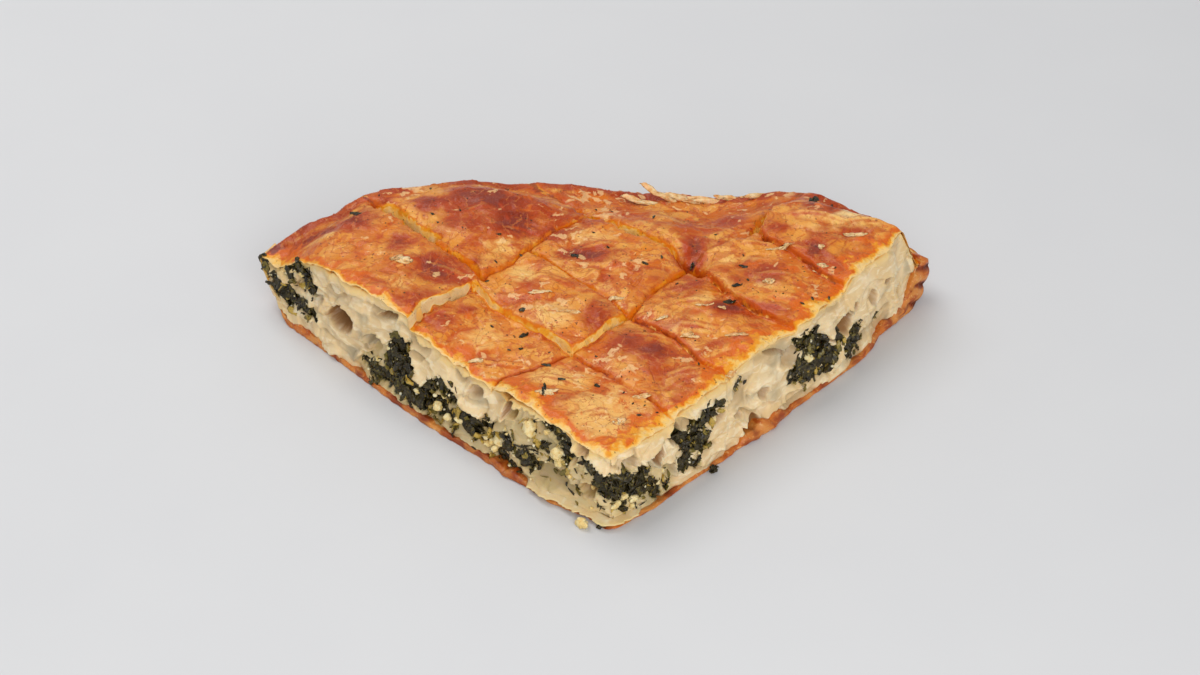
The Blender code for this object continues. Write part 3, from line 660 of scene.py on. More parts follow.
# How high the filling reaches behind the front corner; dough, leaf and cheese are mixed below.
FILLING_TOP = (
    (-127, 5), (-121, 12), (-113, 20), (-104, 26), (-99, 21), (-90, 15), (-83, 19), (-75, 18.5),
    (-68, 16), (-58, 16), (-51, 21), (-45, 27), (-34, 28.5), (-22, 28.5), (-17, 25.5), (-10, 24),
    (0, 21), (6, 18.5), (14, 18.5), (20, 16.5), (28, 13), (31, 4))
# Holes and hollows: along the faces (left of the front corner is negative), height, half the
# width and height, depth, slant in degrees, and how much painted shade darkens their inside.
HOLES = (
    (-134, 18.3, 7.8, 4.8, 11, 22, 1), (-148, 20.4, 3.2, 1.1, 4, 10, 0.5),
    (-111, 31, 5.6, 1.3, 4, 25, 0.8), (-48.2, 24, 2.6, 3.4, 6, 15, 1),
    (-64.6, 23.9, 4.2, 2.4, 2.2, 20, 0.5), (-11.2, 9.8, 3.8, 3, 4.5, 30, 0.6),
    (-12.6, 28, 3.6, 2.6, 3, -30, 0.7), (-28, 7.6, 9.5, 3.8, 3.4, 4, 0.25),
    (-17.5, 21, 1.6, 4.5, 3, -8, 0.3), (-118, 18.6, 5, 2, 2.5, 20, 0.1),
    (-160, 19.5, 3, 1.2, 2, 12, 0.3), (-57, 17.5, 3.5, 1.6, 2, 25, 0.2),
    (9.3, 20, 4.2, 3, 4.5, 35, 0.35), (21.6, 20, 3.1, 2.6, 7, 0, 1),
    (26.9, 9.3, 3.4, 4.4, 3, 10, 0.2), (31.5, 22, 3, 3.4, 3, 0, 0.4), (69.3, 4.4, 4.2, 3, 6, 0, 1),
    (76, 14.5, 2.6, 1.6, 3, 30, 0.6), (62.5, 12.5, 2.6, 1.2, 2.6, -30, 0.5),
    (84, 25.6, 5, 0.9, 3, -26, 0.6), (90.5, 21, 4.6, 2.6, 3.2, 30, 0.25),
    (118, 18.9, 6.4, 2.6, 6.5, 4, 1), (126.5, 22.5, 2.2, 2.8, 3.5, 10, 0.7),
    (52, 16.8, 4, 2, 3.5, 10, 0.6), (149.7, 21.6, 3.2, 2.2, 4, 20, 0.8),
    (139.5, 18.5, 2.4, 2.6, 3, 12, 0.5), (156, 13, 2.4, 1.3, 2.4, 40, 0.4),
    (133, 13, 3, 1, 1.8, 10, 0.2))
# Folds that stand out: from, to, half the width, how far.
FOLDS = (
    (-146.5, 13, -146.2, 19, 1.4, 1.4), (-146.2, 18, -140.5, 23.4, 1.3, 1.4),
    (-150.5, 13, -147.5, 6, 1.2, 1), (-142, 12.5, -128, 9.5, 1.6, 1), (-153, 17, -149, 11, 1.2, 1),
    (-124, 22, -110, 26.5, 1.4, 1.2), (-140, 27, -118, 29.5, 1.6, 0.8),
    (-101, 22, -89, 15.2, 1.6, 1.4), (-89, 15.4, -75, 18.2, 1.5, 1.2),
    (-75, 18, -58, 16.2, 1.5, 1.4), (-58, 16.4, -52, 22, 1.4, 1.3), (-52, 22, -45, 27.5, 1.4, 1),
    (-95, 27, -76, 24, 2.2, 0.6), (-17, 26, -14.5, 17, 1.1, 1.2), (-20, 25.5, -19, 14, 0.9, 0.9),
    (-10, 27, -13, 20.5, 1.1, 1.1), (-36, 1.4, -8, 2.2, 1.3, 1.6), (-42, 5, -37, 14, 1, 0.8),
    (37.6, 5.4, 56.5, 4.8, 1, 1.2), (44, 10.5, 58, 11.5, 2.6, 1.4), (58, 16, 66, 9, 1.6, 1),
    (72, 12, 84, 8, 1.7, 1.1), (74, 20, 88, 14, 1.8, 1), (66, 27, 78, 24, 1.8, 0.8),
    (110, 24, 126, 24.5, 1.6, 1), (112, 15, 128, 15.5, 1.5, 0.9), (130, 20, 144, 12, 1.7, 1),
    (136, 27, 152, 24, 1.6, 0.8), (147, 18, 157, 8, 1.5, 1), (26, 26, 34, 26.5, 1.4, 0.9),
    (0, 24.5, 14, 24, 1.3, 0.9))


def face_relief(p, z, below):
    """How far the cut faces stand out at p and z, the painted shade in their holes, how green and
    mixed they are, and the painted shade where they lie deep.
    """
    flat = level(p, z)
    warp = level(rough(flat, 11, 101.0), rough(flat, 11, 107.0))
    ragged = rough(flat, 2.2, 111.0, 2)
    # Sheets of dough hang over each other, and the lower edge of each stands out over a gap.
    detail = np.zeros_like(p)
    for thick, lean, shift, height in ((8.5, 0.08, 0.0, 2.0), (6.0, -0.10, 31.0, 1.0)):
        sheets = (z + lean * np.abs(p) + 3.5 * warp[:, 0]) / thick
        sheets = sheets + 0.45 * rough(flat, 13, 127.0 + shift) + shift
        share = sheets - np.floor(sheets)
        lip = np.where(share < 0.14, ease(share / 0.14), ((1 - share) / 0.86) ** 1.4) - 0.35
        shown = np.clip(0.35 + 1.7 * rough(flat, (15, 9, 9), 141.0 + shift), 0, 1)
        detail = detail + height * lip * shown
    torn = rough(flat + 3 * warp, (15, 11, 5), 163.0)
    detail = detail + 0.8 * ease((torn - 0.14) / 0.06) - 0.6 * ease((-torn - 0.20) / 0.06)
    relief = 1.3 * rough(flat, 17, 121.0) + detail + 0.05 * rough(flat, 1.6, 151.0)
    filling_top = through(FILLING_TOP, p) + 1.2 * ragged
    mixed = ease((filling_top - z) / 0.8) * ease((p + 128) / 3) * ease((32 - p) / 3)
    over_filling = np.exp(-((filling_top + 1.2 - z) / 1.3) ** 2) * (p < 30) * (p > -127)
    relief = relief - 1.5 * mixed + 0.9 * over_filling
    tan = np.zeros_like(p)
    for at_p, at_z, half_p, half_z, depth, slant, tint in HOLES:
        lean_cos, lean_sin = math.cos(math.radians(slant)), math.sin(math.radians(slant))
        across = (p - at_p) * lean_cos + (z - at_z) * lean_sin
        up = (z - at_z) * lean_cos - (p - at_p) * lean_sin
        away = np.hypot(across / half_p, up / half_z) * (1 + 0.08 * ragged) + 0.22 * warp[:, 1]
        deep = 1 - ease((away - 0.68) / 0.34)
        relief = relief * (1 - 0.7 * deep) - depth * deep * (1 - 0.25 * away)
        relief = relief + 0.7 * np.exp(-((away - 1.2) / 0.16) ** 2)
        tan = np.maximum(tan, tint * (1 - ease((away - 0.86) / 0.30)))
    for *ends, width, height in FOLDS:
        share, off_p, off_z = beside(p, z, *ends)
        away = np.hypot(off_p + 0.8 * warp[:, 0], off_z + 0.8 * warp[:, 1])
        arch = np.sin(np.clip(share * 0.9 + 0.05, 0, 1) * math.pi) ** 0.5
        fold = height * arch * np.exp(-(away / width) ** 2)
        relief, detail = relief + fold, detail + fold
    greens = clump_share(p, z, ragged)
    relief = relief - 2.4 * ease(greens / 0.22)
    # The relief fades in under the lid's edge, and leaves the foot to the crust there.
    relief = relief * ease((below + 0.3) / 2.2) * ease((z + 1.0) / 3.5) - 0.2
    return relief, tan, greens, mixed, ease((0.5 - detail) / 1.6)


# Where the dough is wet and clear as glass noodles: place, half the width and height, how much.
WET = (
    (-118, 18.4, 7, 2.6, 1), (-62, 21.5, 7, 3.2, 0.7), (-26, 7.5, 10, 4.6, 1),
    (-40, 15, 4, 5, 0.5), (-22, 22.5, 5, 4, 0.6), (9, 20.5, 6, 3, 0.7), (19, 19, 4, 4, 0.8),
    (31.5, 21.5, 4, 3.5, 0.7), (-92, 8.5, 6, 2, 0.6), (-73, 11, 4, 4, 0.7), (-60, 8, 4, 3, 0.6),
    (89.5, 22.5, 6, 4, 1), (92, 15, 4, 6, 0.9), (81, 11, 5, 4, 0.6), (125, 20, 6, 3, 0.5),
    (134, 8, 6, 4, 0.5), (154, 20, 4, 5, 0.4), (60, 23, 6, 3, 0.5), (29, 8, 4, 5, 0.7),
    (-140, 25, 8, 2, 0.4), (-146, 9, 6, 3, 0.4), (146, 17, 5, 4, 0.5), (-150, 14, 3, 4, 0.4),
    (70, 16, 5, 4, 0.4), (112, 9, 4, 4, 0.5))


def drooped(relief, z, below):
    """How far what stands out hangs down, and what lies deep is drawn up."""
    return np.clip(0.38 * relief, -2.2, 2.2) * ease((z - 0.7) / 4) * ease(below / 3)


# Cooked filo dough, cut with a knife: soft, smooth and a little clear, so light goes into it. It
# is cream where it stands out and greyer and glassy where it is wet. Painted shade darkens it
# where it lies deep between the sheets, and makes it brown inside the holes.
cooked_dough, tree, shader, here = new_material("cooked_filo_dough_cut_with_a_knife", {
    "IOR": 1.42, "Subsurface Weight": 0.30, "Subsurface Radius": (1.0, 0.7, 0.4),
    "Subsurface Scale": 0.0020})
# In mm: wetter and drier clouds 11, smears of the knife 4.5 and sheets 2.6, both drawn out along
# the cut. The dough's pores are near 0.2, too fine to show, and are drawn at 0.7.
broad, smear, layers, fine = (
    add(tree, "TexNoise", {"Vector": add(tree, "Mapping", {"Vector": here, "Scale": stretch}),
                           "Scale": 1 / (size * MM), "Detail": detail, "Distortion": warp})
    for size, detail, warp, stretch in (
        (11, 3, 0.5, (1, 1, 1.25)), (4.5, 4, 1.0, (0.7, 0.7, 1.3)), (2.6, 3, 0.8, (0.5, 0.5, 1.5)),
        (0.7, 3, 0.0, (1, 1, 1))))
tan, baked, stain, jelly, foot, sunk = (
    add(tree, "Attribute", {}, "Fac", attribute_name=name)
    for name in ("tan", "baked", "stain", "jelly", "foot", "sunk"))
tone = painted(tree, "#EAD1A4", (
    ("#DFBF8A", 1, broad, 1, 0, 0.38, 0.62),
    ("#F4E5C4", 0.55, layers, 1, 0, 0.52, 0.62),
    ("#D3B482", 0.5, smear, 1, 0, 0.56, 0.7),
    # Painted shade where the dough lies deep between its sheets.
    ("#C8AA7B", 0.8, smear, 0.5, sunk, 0.55, 1),
    ("#9C825A", 0.65, smear, 0.5, sunk, 0.95, 1.35),
    ("#B3A382", 0.85, smear, 0.5, jelly, 0.5, 0.95),
    ("#857A68", 0.7, smear, 0.5, jelly, 1, 1.3),
    ("#E8C684", 1, smear, 0.7, baked, 0.6, 1),
    ("#E3A54A", 0.8, smear, 0.7, baked, 1.1, 1.35),
    # Painted shade inside the holes.
    ("#95683A", 0.95, tan, 1, 0, 0, 0.9),
    ("#B9A156", 0.6, layers, 0.8, stain, 0.55, 0.9),
    ("#3A3A22", 1, layers, 0.8, stain, 0.9, 1.2),
    ("#B26A35", 0.8, smear, 0.9, foot, 0.95, 1.25)))
finished(tree, shader, tone, (smear, 0.34, 0.20), ((layers, 0.45), (fine, 0.2), (smear, 0.6)), 0.4)

# The mesh: a column every FACE_STEP, a row tucked in at the foot, the rows of the face, and the
# rows that run in under the lid, the last to 7 mm.
FACE_STEP = 0.46
FACE_ROWS = 70
EDGE_INSIDE = 1.4
TUCKED_IN = (EDGE_INSIDE, 2.0, 4.0, 7.0)
p_lines = np.arange(-LEFT_END - 0.9, RIGHT_END + 0.9, FACE_STEP)
bm, column, row = grid(len(p_lines) - 1, FACE_ROWS + len(TUCKED_IN))
row = row - 1
p = np.clip(p_lines[column], -LEFT_END, RIGHT_END)
q = np.clip(row / FACE_ROWS, 0, 1)
under = np.clip(row - FACE_ROWS, 0, None)
s_top, t_top = along_cuts(p, 0 * p + BELLY_HEIGHT, np.array(TUCKED_IN)[under])
top = lid_top(s_top, t_top, *plan(s_top, t_top)) - UNDER_LID
z = np.where(under > 0, top, 0.7 + q * (top - 0.7))
below = top - z
relief, tan_share, greens, mixed, sunk_share = face_relief(p, z, below)
relief = np.where(row < 0, -5, relief)
droop = drooped(relief, z, below)
past_end = np.abs(p_lines[column]) - np.where(p < 0, LEFT_END, RIGHT_END)
co = on_face(p, z - droop, relief - 4 * ease((past_end + 0.3) / 1.2))
co = np.where((under > 0)[:, None], settled(*plan(s_top, t_top), top), co)
flat = level(p, z)
wet = 0.7 * ease((rough(flat, 13, 161.0) + 0.35 * greens - 0.1) / 0.6) * ease((below - 5) / 4)
wet = patched(wet, p, z, WET)
shape(bm, co, tan=tan_share, baked=np.exp(-np.clip(below, 0, 50) / 2.4),
      stain=ease(greens / 0.3) + 0.32 * mixed, jelly=np.maximum(wet, 0.36 * mixed),
      foot=np.exp(-z / 1.6), sunk=sunk_share)
piece(bm, "dough_cut_faces", cooked_dough, ("spinach_filling",))

# The filling: blanched spinach, chopped and squeezed out, which baked to glossy, almost
# black clumps with olive and yellow-green edges. Each scrap of leaf is a closed crumpled shape.
random.seed(11)


def copies(count, detail):
    """A bmesh of that many icospheres of radius 1, one after the other, and the places in one."""
    bm = bmesh.new()
    bmesh.ops.create_icosphere(bm, subdivisions=detail, radius=1)
    one = np.array([v.co[:] for v in bm.verts])
    sizes = len(bm.verts), len(bm.edges), len(bm.faces)
    made = 1
    while made < count:
        more = min(made, count - made)
        geom = [*list(bm.verts)[:more * sizes[0]], *list(bm.edges)[:more * sizes[1]],
                *list(bm.faces)[:more * sizes[2]]]
        bmesh.ops.duplicate(bm, geom=geom)
        made += more
    return bm, one


def crumpled(detail, count, squash, bend, fold=0.9):
    """Shapes about 2 units across that are crumpled from a squashed ball, one array for each."""
    bm, ball = copies(1, detail)
    bm.free()
    shapes = []
    for k in range(count):
        shift = [rough(ball, fold, 7.0 * k + c, 2) for c in (1.1, 2.2, 3.3)]
        shapes.append(ball * np.array(squash) + np.stack(shift, 1) * np.array(bend))
    return shapes


def frame_at(p):
    """The directions along, up and out of the cut face at p, as columns of a matrix."""
    out = facing(np.array([p]))[0]
    return np.array(((-out[1], 0, out[0]), (out[0], 0, out[1]), (0, 1, 0)))


def on_skin(p, z, off):
    """Places so far off the finished skin of the cut faces, and how far they lie below the lid."""
    p, z = np.array(p, float), np.array(z, float)
    s, t = along_cuts(p, z, EDGE_INSIDE)
    below = lid_top(s, t, *plan(s, t)) - UNDER_LID - z
    relief = face_relief(p, z, below)[0]
    return on_face(p, z - drooped(relief, z, below), relief + off), below


def turned(spin, tip, roll):
    """A turn about the outward direction, and then tips about the two others, as a matrix."""
    return np.array((Matrix.Rotation(tip, 3, "X") @ Matrix.Rotation(roll, 3, "Y")
                     @ Matrix.Rotation(spin, 3, "Z"))[:])


def scatter(name, material, replaces, detail, shapes, scraps):
    """One piece of many scraps; each is a shape, its place, its own matrix and its tint."""
    bm, one = copies(len(scraps), detail)
    co = np.concatenate([place + shapes[kind] @ matrix.T for kind, place, matrix, tint in scraps])
    shape(bm, co, tint=np.repeat([tint for kind, place, matrix, tint in scraps], len(one)))
    piece(bm, name, material, replaces)


# Blanched spinach leaf: wet and smooth, so each small crumple catches a highlight. It cooked to
# an almost black green, olive where it is thin and yellow along torn edges and stems.
leaf, tree, shader, here = new_material("blanched_spinach_leaf", {
    "IOR": 1.40, "Subsurface Weight": 0.05, "Subsurface Scale": 0.0006})
# Thick and thin places lie 2.8 mm apart. The veins of a chopped leaf are about 0.5 mm apart, too
# fine to show, and are drawn at 1.1.
veins, patches = (
    add(tree, "TexNoise", {
        "Vector": here, "Scale": 1 / (size * MM), "Detail": 3, "Distortion": warp})
    for size, warp in ((1.1, 0.8), (2.8, 0.0)))
tint = add(tree, "Attribute", {}, "Fac", attribute_name="tint")
tone = painted(tree, "#211B0E", (
    ("#3A321A", 1, patches, 1, 0, 0.4, 0.62),
    ("#5E5228", 0.7, veins, 1, 0, 0.54, 0.64),
    ("#73652C", 1, veins, 0.7, tint, 0.66, 0.9),
    ("#BE9E48", 1, veins, 0.7, tint, 1, 1.3)))
finished(tree, shader, tone, (patches, 0.2, 0.18), ((veins, 1.0),), 0.4)

# Large leaves lie flat in each clump, small scraps fill round them, and loose scraps and stems
# run all through the mixed part of the filling. Each has a place along the faces and a height,
# how far it stands off the skin, its half sizes and its tint.
LOOSE_SCRAPS = 230


def in_filling(start, end, low, under_top):
    """A random place in the mixed part of the filling, between two places along the faces."""
    p = random.uniform(start, end)
    return p, random.uniform(low, max(3, float(through(FILLING_TOP, np.array([p]))[0]) - under_top))


BROAD_LEAVES = crumpled(3, 12, (1.0, 0.85, 0.16), (0.20, 0.20, 0.62), 0.8)
SCRAPS = crumpled(2, 14, (1.0, 0.75, 0.22), (0.28, 0.28, 0.62))
broad_ones, small_ones = [], []
for at_p, at_z, half_p, half_z in CLUMPS:
    for k in range(max(1, round(0.15 * math.pi * half_p * half_z + 0.5))):
        turn, reach = random.uniform(0, 2 * math.pi), 0.55 * math.sqrt(random.random())
        long = min(3.6, 0.75 * min(half_p, half_z) + 0.9) * random.uniform(0.8, 1.25)
        broad_ones.append((
            at_p + half_p * reach * math.cos(turn),
            max(2.4, at_z + half_z * reach * math.sin(turn)),
            random.uniform(0.8, 2.0), (1.35 * long, long, 0.55 * long),
            random.choice((0.0, 0.1, 0.2, 0.35))))
    for k in range(int(3 + 0.24 * math.pi * half_p * half_z)):
        turn, reach = random.uniform(0, 2 * math.pi), math.sqrt(random.random())
        long = min(1.2, 0.35 * min(half_p, half_z) + 0.4) * random.uniform(0.5, 1.5)
        tint_value = random.choice((0.0, 0.1, 0.2, 0.35, 0.5, 0.8)) + 0.9 * max(0, reach - 0.65)
        small_ones.append((
            at_p + 1.35 * half_p * reach * math.cos(turn),
            max(1.5, at_z + 1.35 * half_z * reach * math.sin(turn)),
            random.uniform(0.4, 2.5) * (1 - 0.6 * reach), (1.4 * long, long, long), tint_value))
for k in range(LOOSE_SCRAPS):
    place = in_filling(-112, 29, 1.8, 1)
    long, slim = random.uniform(0.4, 2.1), random.choice((0.9, 0.8, 0.35))
    small_ones.append((
        *place, random.uniform(-0.1, 0.5), (1.5 * long, slim * long, 0.7 * slim * long),
        random.choice((0.0, 0.1, 0.3, 0.6, 0.9, 1.1))))
# Scraps that fell out at the foot of the cuts: place, how far out, half the length, how many.
for p_here, z_here, off, long, count in ((45, 0.9, 2.2, 1.3, 6), (-3.6, 0.9, 3.2, 1.1, 5)):
    for k in range(count):
        small_ones.append((
            p_here + random.uniform(-1.6, 1.6), z_here, off + random.uniform(-0.6, 0.6),
            (1.3 * long, 0.7 * long, 0.5 * long), 0.0))


def laid(wanted, kinds, tip):
    """Scraps at p, z and so far off the skin, each turned at random, where the lid covers them."""
    places, below = on_skin(*([item[k] for item in wanted] for k in range(3)))
    scraps = []
    for (p_here, z_here, off, size, tint_value), place, depth in zip(wanted, places, below):
        matrix = frame_at(p_here) @ turned(random.uniform(-3.1, 3.1), random.uniform(-tip, tip),
                                           random.uniform(-tip, tip)) @ np.diag(size)
        if depth > 0.6 * size[1] + 0.6:
            scraps.append((random.randrange(kinds), place, matrix, tint_value))
    return scraps


scatter("spinach_leaves", leaf, ("spinach_filling",), 3, BROAD_LEAVES,
        laid(broad_ones, len(BROAD_LEAVES), 0.45))
scatter("spinach_scraps", leaf, ("spinach_filling",), 2, SCRAPS,
        laid(small_ones, len(SCRAPS), 1.0))

# The bottom crust: the lowest sheets, fried brown in the oiled tray. It is one skin: the
# flat underside, a ragged brown edge that shows along both cuts, and the outer side, which was
# pleated up against the wall of the tray and browned there.

# How high the brown edge stands along the cuts, and how far it stands out.
BROWN_HEIGHT = (
    (-183, 2.8), (-165, 3), (-152, 2.5), (-135, 1.9), (-60, 1.7), (-50, 2.6), (-40, 2.5),
    (-34, 1.3), (-8, 1), (12, 1), (30, 0.8), (44, 1.3), (56, 1.7), (66, 3), (80, 3.6), (92, 1.8),
    (120, 1.5), (140, 3), (158, 4.2), (163, 8), (166.5, 17), (170, 19.5), (174, 16))
BROWN_OUT = (
    (-183, 0.8), (-150, 0.9), (-100, 0.5), (-60, 0.7), (-48, 2), (-36, 1.6), (-10, 1.2), (0, 2),
    (14, 1.4), (40, 0.6), (58, 1.2), (75, 3), (92, 1.2), (140, 1.5), (160, 1.8), (174, 1.4))
# How dark the brown edge is along the cuts.
BROWN_SHADE = ((-183, 0.34), (-130, 0.38), (-100, 0.56), (-20, 0.56), (10, 0.42), (174, 0.44))
# Where the outer side bulges past the right end of the cut: height, and how far.
END_BULGE = ((0, 0), (5, 1.6), (11, 3.4), (15, 2.6), (19, -1.2), (24, -2), (37, 0))

# Filo sheets fried in the oiled tray: hard and brittle, orange-brown where a sheet stands free,
# dark red-brown where they touched the metal. Painted shade darkens the creases between the
# sheets, and a painted highlight lightens the folds that stand out.
browned_sheet, tree, shader, here = new_material("tray_fried_filo_crust", {
    "IOR": 1.45, "Subsurface Weight": 0.06, "Subsurface Scale": 0.001})
# In mm: clouds of browning 12, and streaks 3.4 that follow the sheets. The fried grain is near
# 0.3, too fine to show, and is drawn at 1.1.
broad, streaks, small = (
    add(tree, "TexNoise", {"Vector": add(tree, "Mapping", {"Vector": here, "Scale": stretch}),
                           "Scale": 1 / (size * MM), "Detail": detail, "Distortion": warp})
    for size, detail, warp, stretch in (
        (12, 3, 0.6, (1, 1, 1)), (3.4, 4, 0.8, (0.55, 0.55, 1.5)), (1.1, 3, 0.0, (1, 1, 1))))
dark = add(tree, "Attribute", {}, "Fac", attribute_name="dark")
tone = painted(tree, "#D48C42", (
    ("#C66A20", 1, broad, 1, 0, 0.38, 0.62),
    ("#AE4A10", 0.8, streaks, 1, 0, 0.5, 0.6),
    ("#E8B873", 0.6, small, 1, 0, 0.6, 0.68),
    ("#E2AE62", 0.9, streaks, 0.8, dark, 0.26, 0.1),
    ("#8E3B0E", 1, streaks, 1, dark, 0.85, 1.2),
    ("#56220C", 0.9, streaks, 1, dark, 1.2, 1.5)))
finished(tree, shader, tone, (small, 0.3, 0.25), ((streaks, 1.0), (small, 0.5)), 0.6)

# The mesh goes round the piece, along both cuts and back along the tray's wall. Its rows are the
# underside, the foot, the rows of the rim, the rim's top, and a last one that is tucked in.
FOOT_ROW, RIM_ROWS = 3, 20
TOP_ROW = FOOT_ROW + RIM_ROWS + 1
INNER_ROW = TOP_ROW + 1
WALL_START, WALL_LENGTH = 174, 254
cut_p = np.concatenate((
    np.linspace(-LEFT_END, 0, 300, endpoint=False), np.linspace(0, RIGHT_END, 290)))
arc_turn = np.linspace(0, 1, 300)[1:-1]
count = len(cut_p) + len(arc_turn)
place_along = np.concatenate((cut_p, np.zeros(len(arc_turn))))
place_turn = np.concatenate((np.where(cut_p < 0, 1.0, 0.0), arc_turn))
on_arc = np.concatenate((np.zeros(len(cut_p), bool), np.ones(len(arc_turn), bool)))
bm, column, row = grid(count, INNER_ROW)
column = column % count
p, turn, arc = place_along[column], place_turn[column], on_arc[column]
angle = RIGHT_CUT + turn * (LEFT_CUT - RIGHT_CUT)
round_way = np.stack((np.cos(angle), np.sin(angle)), 1)
line = level(np.where(arc, WALL_START + WALL_LENGTH * turn, p))
cut_top = through(BROWN_HEIGHT, p) * (1 + 0.6 * rough(line, 7.0, 201.0, 2))
cut_top = cut_top + 0.25 * rough(line, 1.8, 203.0)
edge_z = through(EDGE_HEIGHT, turn)
rim_top = np.minimum(BELLY_HEIGHT + 1.5, edge_z - 1.8) + 0.9 * rough(line, 5, 205.0, 2)
near_tip = np.minimum(turn, 1 - turn) * WALL_LENGTH
rim_top = cut_top + (rim_top - cut_top) * ease(near_tip / 2.5)
top = np.where(arc, rim_top, np.maximum(cut_top, 0.8))
up = np.clip((row - FOOT_ROW) / RIM_ROWS, 0, 1)
z = np.where(row < FOOT_ROW, 0, 0.15 + (top - 0.15) * up)
z = np.where(row == TOP_ROW, top - 0.3, z)
z = np.where(row == INNER_ROW, np.maximum(top - np.where(arc, 3.0, 0.6), 0.3), z)
pleat_place = np.stack((line[:, 0] + 0.5 * z, 0 * z, z * 0.2), 1)
pleats = 1.3 * np.clip(1 - 3 * np.abs(rough(pleat_place, 10, 211.0)), 0, 1)
pleats = (pleats + 0.35 * rough(pleat_place, 3.5, 213.0)) * ease(z / 5) * ease(near_tip / 3)
crumbled = through(BROWN_OUT, p) * (1 + 0.3 * rough(line, 7, 215.0, 2))
crumbled = crumbled * np.sin(np.clip(0.25 + 0.7 * up, 0, 1) * math.pi) ** 0.7
crumbled = crumbled + 0.3 * rough(level(0.5 * p, z), 1.6, 217.0)
# The folded sheets at the right end of the cut: where they begin, and how thick each is.
FOLDED_FROM, FOLD_THICKNESS = 161, 5.6
rise = np.where(arc, -0.12 * turn * WALL_LENGTH, 0.25 * (p - 170)) + 1.5
folds = (z + rise) / FOLD_THICKNESS
fold_share = np.abs(folds - np.floor(folds) - 0.5) * 2
at_end = ease((p - FOLDED_FROM) / 4)
fold_round = np.sqrt(fold_share * (2 - fold_share))
crumbled = crumbled * (1 - 0.5 * at_end) + at_end * (2.3 * fold_round - 1.1)
out = np.where(arc, pleats, crumbled)
out = np.where(row == TOP_ROW, out - 1.1, out)
out = np.where(row == INNER_ROW, -3.0, out)
face_co = on_face(p, z, np.where(arc, 0, out))
rim_radius = side_radius(turn, z) + out
rim_co = settled(rim_radius * round_way[:, 0], rim_radius * round_way[:, 1], z)
co = np.where(arc[:, None], rim_co, face_co)
past_end = np.where(arc, ease((0.10 - turn) / 0.10), at_end) * (row >= FOOT_ROW)
co[:, :2] += (past_end * through(END_BULGE, z))[:, None] * RIGHT_WAY
# The rows of the underside run in towards its middle, and one face closes them there.
middle = 75 * (LEFT_WAY + RIGHT_WAY) + FRONT_CORNER
inward = np.array((0.35, 0.04, 0.012) + (0,) * (RIM_ROWS + 3))[row]
co[:, :2] += (middle - co[:, :2]) * inward[:, None]
# Painted shade and highlight: pleats and the folds at the right end are darker in their creases and
# lighter where they stand out. The underside, the edge along the cuts and random patches are
# browned. The end folds are also lighter above 13 mm.
wall_shade = 0.15 + 0.5 * np.exp(-z / 3) + 0.35 * np.exp(-(top - z) / 2)
darkness = np.where(row < FOOT_ROW, 0.75, np.where(arc, wall_shade, through(BROWN_SHADE, p)))
darkness = np.where(arc, darkness - 0.25 * pleats, darkness + 0.24 * rough(line, 7, 221.0, 2))
darkness = darkness + past_end * (0.95 * (0.5 - fold_share) - 0.5 * ease((z - 13) / 4))
shape(bm, co, dark=darkness)
bmesh.ops.remove_doubles(bm, verts=bm.verts, dist=1e-6)
inner = [e for e in bm.edges if e.is_boundary and e.verts[0].co.z < 1e-6 and e.verts[1].co.z < 1e-6]
bmesh.ops.contextual_create(bm, geom=inner)
bmesh.ops.recalc_face_normals(bm, faces=bm.faces)
piece(bm, "bottom_crust_and_side", browned_sheet, ("pastry_bottom",))

# One lower sheet stayed pale and curls out round the front corner, above the brown crust. Its
# mesh goes out over the top of the sheet and back below it.
LIP_START, LIP_END, LIP_THICKNESS = -39.0, 15.0, 0.5
LIP_ROWS = 6
lip_p = np.linspace(LIP_START, LIP_END, 150)
bm, column, row = grid(len(lip_p) - 1, 2 * LIP_ROWS)
p = lip_p[column]
along = (p - LIP_START) / (LIP_END - LIP_START)
line = level(p)
body = ease(along / 0.10) * ease((1 - along) / 0.12)
across = 1 - np.abs(row / LIP_ROWS - 1)
reach = body * (3.4 + 0.9 * rough(line, 6, 301.0) + 0.6 * rough(line, 1.6, 303.0, 2))
upper = np.where(row < LIP_ROWS, 1, -1) * np.clip(6 * across * (1 - across), 0, 1)
z = 2.6 + 0.9 * body * across ** 2 - 1.1 * across + 0.5 * rough(line, 9, 305.0) * across
z = z + 0.5 * LIP_THICKNESS * upper * body
co = on_face(p, z, -1.6 + (reach + 1.2 * body) * across)
shape(bm, co, baked=0.5 * across, jelly=0.3 * (1 - across), stain=0.18 * across)
bmesh.ops.remove_doubles(bm, verts=bm.verts, dist=1e-6)
bmesh.ops.recalc_face_normals(bm, faces=bm.faces)
piece(bm, "pale_sheet_lip", cooked_dough, ("pastry_bottom",))

# Cheese and loose crumbs: white brine cheese crumbled into the spinach. It baked to soft
# pale yellow lumps, and some of it, with scraps of leaf, fell out at the foot of the cuts.

